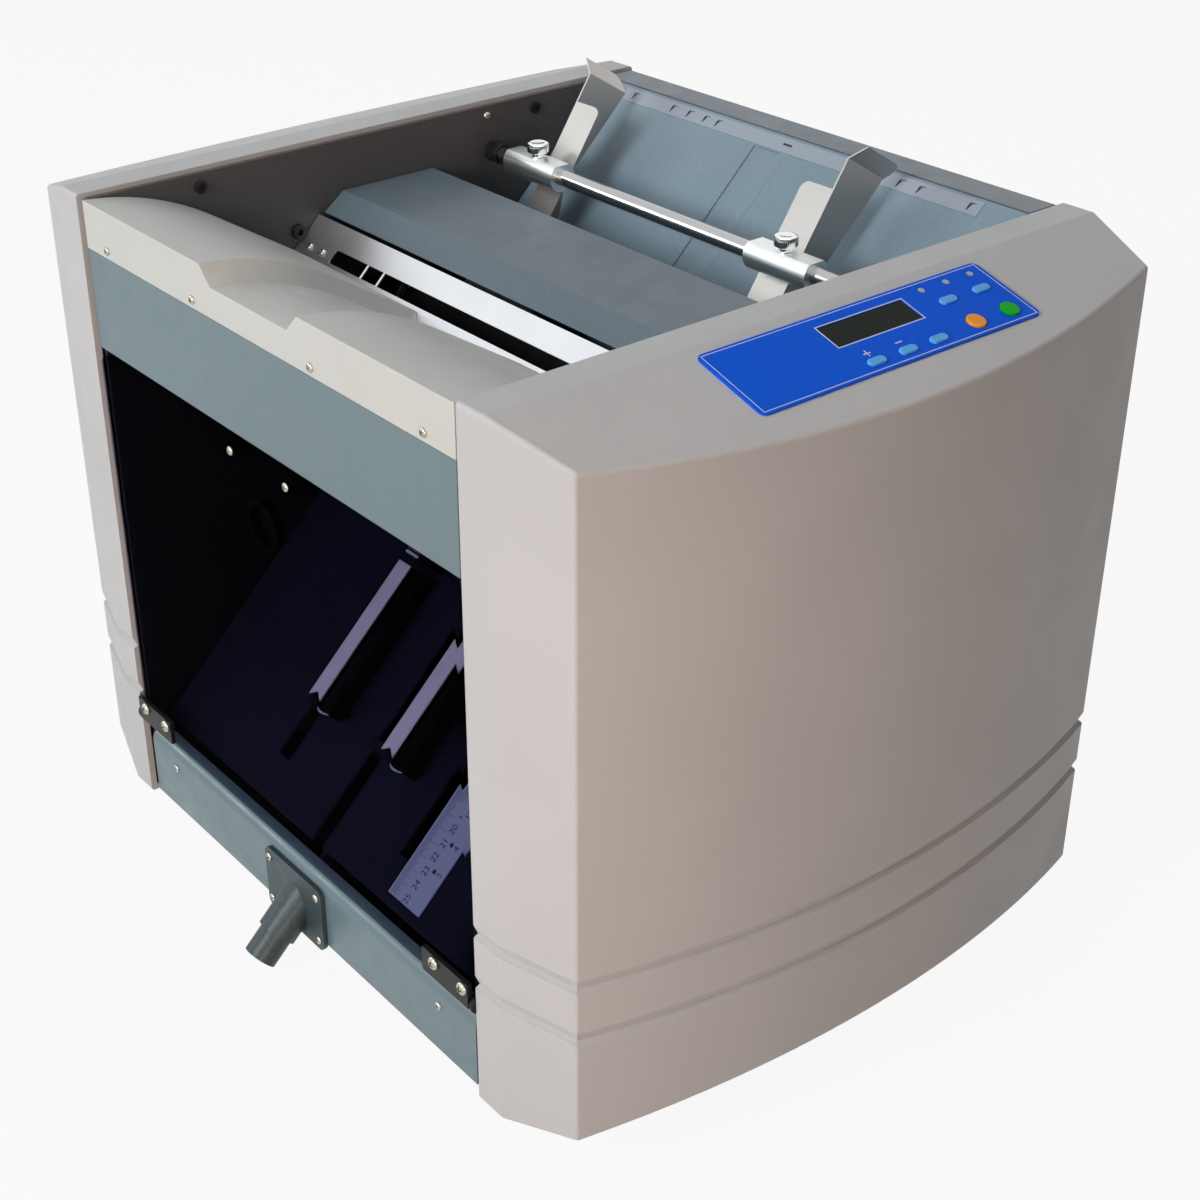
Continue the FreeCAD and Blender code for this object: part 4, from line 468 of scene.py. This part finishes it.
def recessed(profile, tool):
    """The mesh of a lathed head with a drive recess cut out of it."""
    head, cutter = (placed("part", mesh_of(shape, "part")) for shape in (lathe(profile), tool))
    cut = head.modifiers.new("recess", "BOOLEAN")
    cut.operation = "DIFFERENCE"
    cut.solver = "EXACT"
    cut.object = cutter
    mesh = worked_out(head)
    for item in (head, cutter):
        bpy.data.objects.remove(item)
    return mesh


def cross_tool(reach, half, low, high):
    """A cross-shaped prism: the arms' reach and half width, and its two heights."""
    arm = [(reach, -half), (reach, half), (half, half)]
    corners = []
    for cos, sin in ((1, 0), (0, 1), (-1, 0), (0, -1)):
        corners += [(x * cos - y * sin, x * sin + y * cos) for x, y in arm]
    tool = bmesh.new()
    return closed(tool, [[tool.verts.new((x, y, z)) for x, y in corners] for z in (low, high)])


def hexagon_tool(radius, depth, middle):
    """A hexagonal prism about a middle height."""
    tool = bmesh.new()
    bmesh.ops.create_cone(tool, segments=6, radius1=radius, radius2=radius, cap_ends=True,
                          depth=depth, matrix=Matrix.Translation((0, 0, middle)))
    return tool


def pan_head():
    """A pan head one unit in radius and one high, with a cross recess."""
    rim = [(0, 0), (0.96, 0), (1, 0.08), (1, 0.3)]
    dome = [(math.cos(a) * 0.98, 0.3 + 0.7 * math.sin(a))
            for a in (math.radians(step) for step in range(12, 90, 13))]
    return recessed(rim + dome + [(0, 1.0)], cross_tool(reach=0.56, half=0.13, low=0.45, high=1.4))


def cap_head():
    """A cap head one unit in radius and one high, with a hexagon socket."""
    profile = [(0, 0), (0.97, 0), (1, 0.04), (1, 0.9), (0.92, 1), (0.5, 1), (0, 1)]
    return recessed(profile, hexagon_tool(radius=0.5, depth=0.8, middle=0.68))


def solids_of(node):
    """The centres of both ends, and the radius, of each plain cylinder in a node."""
    shape = cleaned(node)
    left = set(shape.verts)
    found = []
    for start in shape.verts:
        if start not in left:
            continue
        left.discard(start)
        island, front = set(), [start]
        while front:
            vertex = front.pop()
            island.add(vertex)
            for edge in vertex.link_edges:
                other = edge.other_vert(vertex)
                if other in left:
                    left.discard(other)
                    front.append(other)
        faces = {face for vertex in island for face in vertex.link_faces}
        caps = sorted(faces, key=lambda face: -face.calc_area())[:2]
        ends = [cap.calc_center_median() for cap in caps]
        radius = max((vertex.co - ends[0]).length for vertex in caps[0].verts)
        found.append((ends, radius))
    shape.free()
    return found


def outward(ends):
    """The two ends of a head, seat first: its top looks to the middle, up or to the front."""
    span = ends[1] - ends[0]
    if abs(span.x) > abs(span.y) and abs(span.x) > abs(span.z):
        return sorted(ends, key=lambda end: -abs(end.x))
    if span.y * span.z < 0 and abs(span.z) > 1e-4:
        return sorted(ends, key=lambda end: end.z)
    return sorted(ends, key=lambda end: -end.y)


FIRST_TURN, NEXT_TURN = 0.35, 1.1       # how far the recess is turned, from screw to screw


def heads(node, unit, finish):
    """Replace a node of plain cylinders by detailed screw heads in the same places."""
    joined = bmesh.new()
    for index, (ends, radius) in enumerate(solids_of(node)):
        seat, top = outward(ends)
        axis = top - seat
        turn = axis.to_track_quat("Z", "Y").to_matrix().to_4x4()
        copy = unit.copy()
        copy.transform(Matrix.Translation(seat) @ turn
                       @ Matrix.Rotation(FIRST_TURN + index * NEXT_TURN, 4, "Z")
                       @ Matrix.Diagonal((radius, radius, axis.length, 1)))
        joined.from_mesh(copy)
    mesh = mesh_of(joined, node + "_heads")
    smooth(mesh, angle=40)
    piece = new_piece(mesh.name, mesh, BODY_OF[node], finish)
    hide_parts(node)


heads("panel_screws", pan_head(), "screw_steel")
heads("window_screws", pan_head(), "screw_steel")
heads("frame_screws", cap_head(), "black_steel")

# thumb screws, in metres
KNOB_HEAD, KNOB_SHANK = 0.007, 0.003                # height of the head, radius of the shank
COLLAR_HEIGHT, COLLAR_RADIUS = 0.0027, 0.0045
KNURLS, KNURL_DEPTH = 96, 0.045                     # steps round, and a share of the radius


def knob(side):
    """A knurled thumb screw in place of the plain one."""
    low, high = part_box(f"clamp_knob_{side}")
    centre = (low + high) / 2
    radius = (high.x - low.x) / 2
    neck = high.z - KNOB_HEAD
    collar = neck - COLLAR_HEIGHT
    shape = lathe([(0, low.z), (KNOB_SHANK, low.z), (KNOB_SHANK, collar), (COLLAR_RADIUS, collar),
                   (COLLAR_RADIUS, neck), (radius - 0.0008, neck), (radius, neck + 0.0008),
                   (radius, high.z - 0.0012), (radius - 0.0004, high.z - 0.0005),
                   (radius - 0.0014, high.z), (0.004, high.z), (0.0036, high.z - 0.0003),
                   (0, high.z - 0.0003)], KNURLS)
    for vertex in shape.verts:
        if abs(math.hypot(vertex.co.x, vertex.co.y) - radius) < 1e-6:
            turn = math.atan2(vertex.co.y, vertex.co.x) / (2 * math.pi)
            vertex.co.xy *= 1 - KNURL_DEPTH * (round(turn * KNURLS) % 2)
    bmesh.ops.translate(shape, verts=shape.verts, vec=(centre.x, centre.y, 0))
    mesh = mesh_of(shape, f"clamp_knob_{side}_knurled")
    smooth(mesh, angle=40)
    piece = new_piece(mesh.name, mesh, f"knob_{side}", "bright_steel")
    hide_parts(f"clamp_knob_{side}")


knob("left")
knob("right")

# ------------------------------------------------------------------ stops and deck

TONGUE_END, TONGUE_TOP = 58.5, 18.2     # of the stops' tongues: lower end, and height over the deck
TONGUE_DOME, TONGUE_BOW = 12, 16        # radii over their width, and round their lower end
TONGUE_HALF, HIGHLIGHT_HALF = 6.75, 6.3      # half the width of a tongue, and of the painted highlight on its rim
HIGHLIGHT_LIFT = 0.2                         # how far the painted highlight's middle line stands over the tongue
HIGHLIGHT_THIN, HIGHLIGHT_SWELL = 0.2, 0.5        # the painted highlight's radius at its ends, and how much it grows


def tube(points, radii, turns=8):
    """A closed tube of changing thickness through a line of points."""
    shape = bmesh.new()
    rings = []
    for index, (point, radius) in enumerate(zip(points, radii)):
        ahead = points[min(index + 1, len(points) - 1)] - points[max(index - 1, 0)]
        turn = ahead.to_track_quat("Z", "Y")
        rings.append([shape.verts.new(point + turn @ Vector((x, y, 0)))
                      for x, y in circle(radius, turns)])
    return closed(shape, rings)


def stop_bead(side, middle):
    """A painted highlight: a thin bright tube along the rounded lower end of a stop's tongue, where
    its gloss would shine.
    """
    steps = [step / 10 * HIGHLIGHT_HALF for step in range(-10, 11)]
    points = [deck(middle + across,
                   TONGUE_END - math.sqrt(TONGUE_BOW ** 2 - across ** 2)
                   + math.sqrt(TONGUE_BOW ** 2 - TONGUE_HALF ** 2),
                   TONGUE_TOP + HIGHLIGHT_LIFT - TONGUE_DOME
                   + math.sqrt(TONGUE_DOME ** 2 - across ** 2))
              for across in steps]
    radii = [(HIGHLIGHT_THIN + HIGHLIGHT_SWELL * (1 - (across / HIGHLIGHT_HALF) ** 2)) / 1000
             for across in steps]
    mesh = mesh_of(tube(points, radii), f"stop_bead_{side}")
    smooth(mesh)
    new_piece(mesh.name, mesh, "stop", "white_print_and_highlights")


# painted highlights on the rims of both stops' tongues
stop_bead("left", -45.75)
stop_bead("right", 37.25)

RIDGE_X = -0.5                          # middle of the ridge
RIDGE_ENDS = (312, 515)                 # along the deck
RIDGE_SECTION = [(-3.2, -0.3), (-3.2, 0), (-1.2, 0.35), (0.8, 0.45), (3.2, 0.1), (3.2, -0.3)]


def deck_ridge():
    """The soft edge on the right of the deck's channel."""
    shape = bmesh.new()
    closed(shape, [[shape.verts.new(deck(RIDGE_X + x, along, out)) for x, out in RIDGE_SECTION]
                   for along in RIDGE_ENDS])
    bmesh.ops.recalc_face_normals(shape, faces=shape.faces)
    mesh = mesh_of(shape, "deck_ridge")
    smooth(mesh, angle=50)
    new_piece("deck_ridge", mesh, "frame", "deck_paint")


deck_ridge()

# ------------------------------------------------------------------ printed marks, and the ruler's painted edge highlight

PRINT_HEIGHT = 0.05                     # of lines and dots over their plate
NUMERAL_HEIGHT = 0.03                   # of numbers, to each side of the plate's surface
NUMERAL_SIZE = 6.5                      # type size of the numbers
QUARTER = Matrix.Rotation(math.pi / 2, 4, "Z")


def print_piece(name, outlines, place, finish="dark_print"):
    """Thin raised print and painted highlights: closed outlines in millimetres on a plane."""
    shape = bmesh.new()
    for outline in outlines:
        corners = [shape.verts.new((x / 1000, y / 1000, 0)) for x, y in outline]
        face = shape.faces.new(corners)
        face.normal_update()
        if face.normal.z < 0:
            face.normal_flip()
        raised = bmesh.ops.extrude_face_region(shape, geom=[face])["geom"]
        bmesh.ops.translate(shape, vec=(0, 0, PRINT_HEIGHT / 1000),
                            verts=[item for item in raised if isinstance(item, bmesh.types.BMVert)])
    bmesh.ops.recalc_face_normals(shape, faces=shape.faces)
    bmesh.ops.transform(shape, matrix=place, verts=shape.verts)
    new_piece(name, mesh_of(shape, name), "frame", finish)


def numeral(text, place, name, finish="dark_print"):
    """A number as a raised mesh, to be read from the right side of the deck."""
    words = bpy.data.curves.new(name, "FONT")
    words.body = text
    words.size = NUMERAL_SIZE / 1000
    words.align_x = "CENTER"
    words.align_y = "CENTER"
    words.extrude = NUMERAL_HEIGHT / 1000
    holder = placed(name + "_words", words)
    mesh = worked_out(holder)
    bpy.data.objects.remove(holder)
    mesh.transform(place @ QUARTER)
    mesh.name = name
    new_piece(name, mesh, "frame", finish)


def strip(x0, y0, x1, y1):
    return [(x0, y0), (x1, y0), (x1, y1), (x0, y1)]


def disc(x, y, radius, turns=24):
    return [(x + across, y + up) for across, up in circle(radius, turns)]


def frame_of(x0, y0, x1, y1, width):
    """A border, as four strips that meet without overlapping."""
    return [strip(x0, y0, x1, y0 + width), strip(x0, y1 - width, x1, y1),
            strip(x0, y0 + width, x0 + width, y1 - width),
            strip(x1 - width, y0 + width, x1, y1 - width)]


# the ruler counts down the deck, one number to each centimetre
RULER_TOP = 1.02                        # its surface, over the deck
RULER_LEFT = 75                         # middle of the painted highlight on its left edge
RULER_LOW, RULER_HIGH = -4.7, 244.7     # ends of that line, along the deck
RULER_COUNT = 25
TICK_LEFT, TICK_HALF = 75.6, 0.11       # where the ticks begin, and half their width
TICK_HIGH, TICK_LOW = 243, -3           # the first and the last tick, along the deck
LONG, MEDIUM, SHORT = 11, 8, 5          # ticks of a centimetre, its half and a millimetre
NUMERAL_X = 90.7                        # middle of the numbers
DOT_4, DOT_3, DOT_RADIUS = (96.5, 41), (96.8, 22), 1.5
DOT_TO_NUMBER = 5

ticks = []
for station in range(TICK_HIGH, TICK_LOW - 1, -1):
    length = LONG if station % 10 == 5 else MEDIUM if station % 5 == 0 else SHORT
    ticks.append(strip(TICK_LEFT, station - TICK_HALF, TICK_LEFT + length, station + TICK_HALF))
on_ruler = on_deck(0, 0, RULER_TOP)
print_piece("ruler_ticks", ticks, on_ruler)
for number in range(1, RULER_COUNT + 1):
    station = (RULER_COUNT - number) * 10 - 1
    numeral(str(number), on_deck(NUMERAL_X, station, RULER_TOP), f"ruler_number_{number}")
print_piece("ruler_dots", [disc(*DOT_4, DOT_RADIUS)], on_ruler)
print_piece("ruler_red_dot", [disc(*DOT_3, DOT_RADIUS)], on_ruler)
numeral("4", on_deck(DOT_4[0] + DOT_TO_NUMBER, DOT_4[1], RULER_TOP), "ruler_place_4")
numeral("3", on_deck(DOT_3[0] + DOT_TO_NUMBER, DOT_3[1], RULER_TOP), "ruler_place_3", "red_print")
# a painted highlight along the ruler's left edge
print_piece("ruler_painted_highlight", [strip(RULER_LEFT - 0.25, RULER_LOW, RULER_LEFT + 0.25, RULER_HIGH)],
            on_ruler, "white_print_and_highlights")

MARK_TOP = 0.41                         # surface of the mark strip, over the deck
PAPER_HALVES = (67.4, 79.8, 96, 112.4, 152.1)
MARK_LOW, MARK_HIGH = 523, 528          # along the deck
marks = []
for half in PAPER_HALVES:
    for x in (-half, half):
        marks.append([(x, MARK_LOW), (x + 0.5, MARK_LOW), (x + 2.6, MARK_HIGH), (x, MARK_HIGH)])
        marks.append(strip(x + 0.5, MARK_HIGH + 0.2, x + 5, MARK_HIGH + 0.7))
marks.append(strip(-4, 526, 4, 527.4))
print_piece("paper_marks", marks, on_deck(0, 0, MARK_TOP))

OVERLAY_TOP = 1.21                      # surface of the key overlay, over the panel
OVERLAY = (126, -58.5, 325, -10)        # its printed border
DISPLAY_BOX = (198, -35.6, 262, -16.4)
PLUS_X, MINUS_X, SIGN_Y = 209, 231.8, -45
SIGN_HALF, SIGN_LINE = 2.5, 0.4         # half the length and half the width of a sign's lines


def dash(x):
    return strip(x - SIGN_HALF, SIGN_Y - SIGN_LINE, x + SIGN_HALF, SIGN_Y + SIGN_LINE)


signs = [dash(PLUS_X),
         strip(PLUS_X - SIGN_LINE, SIGN_Y + SIGN_LINE, PLUS_X + SIGN_LINE, SIGN_Y + SIGN_HALF),
         strip(PLUS_X - SIGN_LINE, SIGN_Y - SIGN_HALF, PLUS_X + SIGN_LINE, SIGN_Y - SIGN_LINE),
         dash(MINUS_X)]
print_piece("overlay_print", frame_of(*OVERLAY, 0.5) + frame_of(*DISPLAY_BOX, 0.7) + signs,
            on_panel(0, 0, OVERLAY_TOP), "white_print_and_highlights")

# ------------------------------------------------------------------ stage, light and camera

FLOOR_SIZE = 15                         # in metres
FLOOR_WHITE = 0.92                      # how white the camera sees the floor
WORLD_STRENGTH = 0.11                   # of the even light from all sides


def seen_directly(tree):
    """One for camera, glossy and transmission rays, and none for light."""
    path = tree.nodes.new("ShaderNodeLightPath")
    most = path.outputs["Is Camera Ray"]
    for kind in ("Is Glossy Ray", "Is Transmission Ray"):
        either = tree.nodes.new("ShaderNodeMath")
        either.operation = "MAXIMUM"
        tree.links.new(most, either.inputs[0])
        tree.links.new(path.outputs[kind], either.inputs[1])
        most = either.outputs[0]
    return most


def stage_floor():
    """A pale floor that the camera sees as nearly white."""
    shape = bmesh.new()
    bmesh.ops.create_grid(shape, x_segments=1, y_segments=1, size=FLOOR_SIZE)
    floor = placed("floor", mesh_of(shape, "floor"))
    paper = Finish("floor_paper", (0.6, 0.6, 0.6), 0.9, Specular_IOR_Level=0.1)
    paper.vary(0.6, 0.01)
    part = paper.node("ShaderNodeMath", operation="MULTIPLY")
    part.inputs[1].default_value = FLOOR_WHITE
    white = paper.node("ShaderNodeEmission")
    mixed = paper.node("ShaderNodeMixShader")
    paper.link(seen_directly(paper.tree), part.inputs[0])
    paper.link(part.outputs[0], mixed.inputs[0])
    paper.link(paper.shader.outputs[0], mixed.inputs[1])
    paper.link(white.outputs[0], mixed.inputs[2])
    paper.link(mixed.outputs[0], paper.tree.nodes["Material Output"].inputs["Surface"])
    floor.data.materials.append(paper.material)


def world_light():
    """A weak even light, behind which the camera sees white."""
    world = bpy.data.worlds.new("studio")
    scene.world = world
    world.use_nodes = True
    tree = world.node_tree
    light = tree.nodes["Background"]
    backdrop = tree.nodes.new("ShaderNodeBackground")
    for sky, strength in ((light, WORLD_STRENGTH), (backdrop, 1.0)):
        sky.inputs["Color"].default_value = (1, 1, 1, 1)
        sky.inputs["Strength"].default_value = strength
    mixed = tree.nodes.new("ShaderNodeMixShader")
    tree.links.new(seen_directly(tree), mixed.inputs[0])
    tree.links.new(light.outputs[0], mixed.inputs[1])
    tree.links.new(backdrop.outputs[0], mixed.inputs[2])
    tree.links.new(mixed.outputs[0], tree.nodes["World Output"].inputs["Surface"])


def lamp(name, place, size, power, color=(1, 1, 1), aim=(0, 0, 0.2), spread=180):
    """A round lamp that looks at a place, in metres and watts."""
    light = bpy.data.lights.new(name, "AREA")
    light.shape = "DISK"
    light.size = size
    light.energy = power
    light.color = color
    light.spread = math.radians(spread)
    holder = placed(name, light)
    holder.location = place
    holder.rotation_mode = "QUATERNION"
    holder.rotation_quaternion = (Vector(aim) - Vector(place)).to_track_quat("-Z", "Y")


PICTURE = 1200                          # width and height of the picture, in pixels
FOCAL_LENGTH = 2010.26                  # in pixels
AXIS_X, AXIS_Y = 520, 580               # the pixel that the lens points at
CAMERA_TURN, CAMERA_PITCH, CAMERA_ROLL = 52.93, 29.46, -1.045
CAMERA_PLACE = (899.8, -496.3, 828.9)
SENSOR = 36


def camera():
    """The camera that took the photograph, from the right front."""
    turn, pitch = math.radians(CAMERA_TURN), math.radians(CAMERA_PITCH)
    roll = math.radians(CAMERA_ROLL)
    ahead = Vector((-math.sin(turn) * math.cos(pitch), math.cos(turn) * math.cos(pitch),
                    -math.sin(pitch)))
    right = Vector((math.cos(turn), math.sin(turn), 0))
    up = right.cross(ahead)
    across = math.cos(roll) * right + math.sin(roll) * up
    upright = -math.sin(roll) * right + math.cos(roll) * up
    view = bpy.data.cameras.new("camera")
    view.sensor_width = SENSOR
    view.lens = FOCAL_LENGTH / PICTURE * SENSOR
    view.shift_x = (PICTURE / 2 - AXIS_X) / PICTURE
    view.shift_y = (AXIS_Y - PICTURE / 2) / PICTURE
    view.clip_end = 60
    holder = placed("camera", view)
    holder.matrix_world = axes_matrix(machine(*CAMERA_PLACE), across, upright)
    scene.camera = holder


stage_floor()
world_light()
lamp("key", (0.3, -3.0, 1.7), size=1.2, power=62, color=(0.97, 0.99, 1))
lamp("cool_left", (-2.1, -1.7, 1.3), size=0.9, power=13, color=(0.86, 0.96, 1))
lamp("warm_side", (1.6, -1.15, 0.5), size=0.7, power=1.0, color=(1, 0.68, 0.48),
     aim=(0.3, -0.36, 0.3), spread=45)
lamp("top", (-0.4, 0.3, 2.9), size=1.6, power=17)
camera()
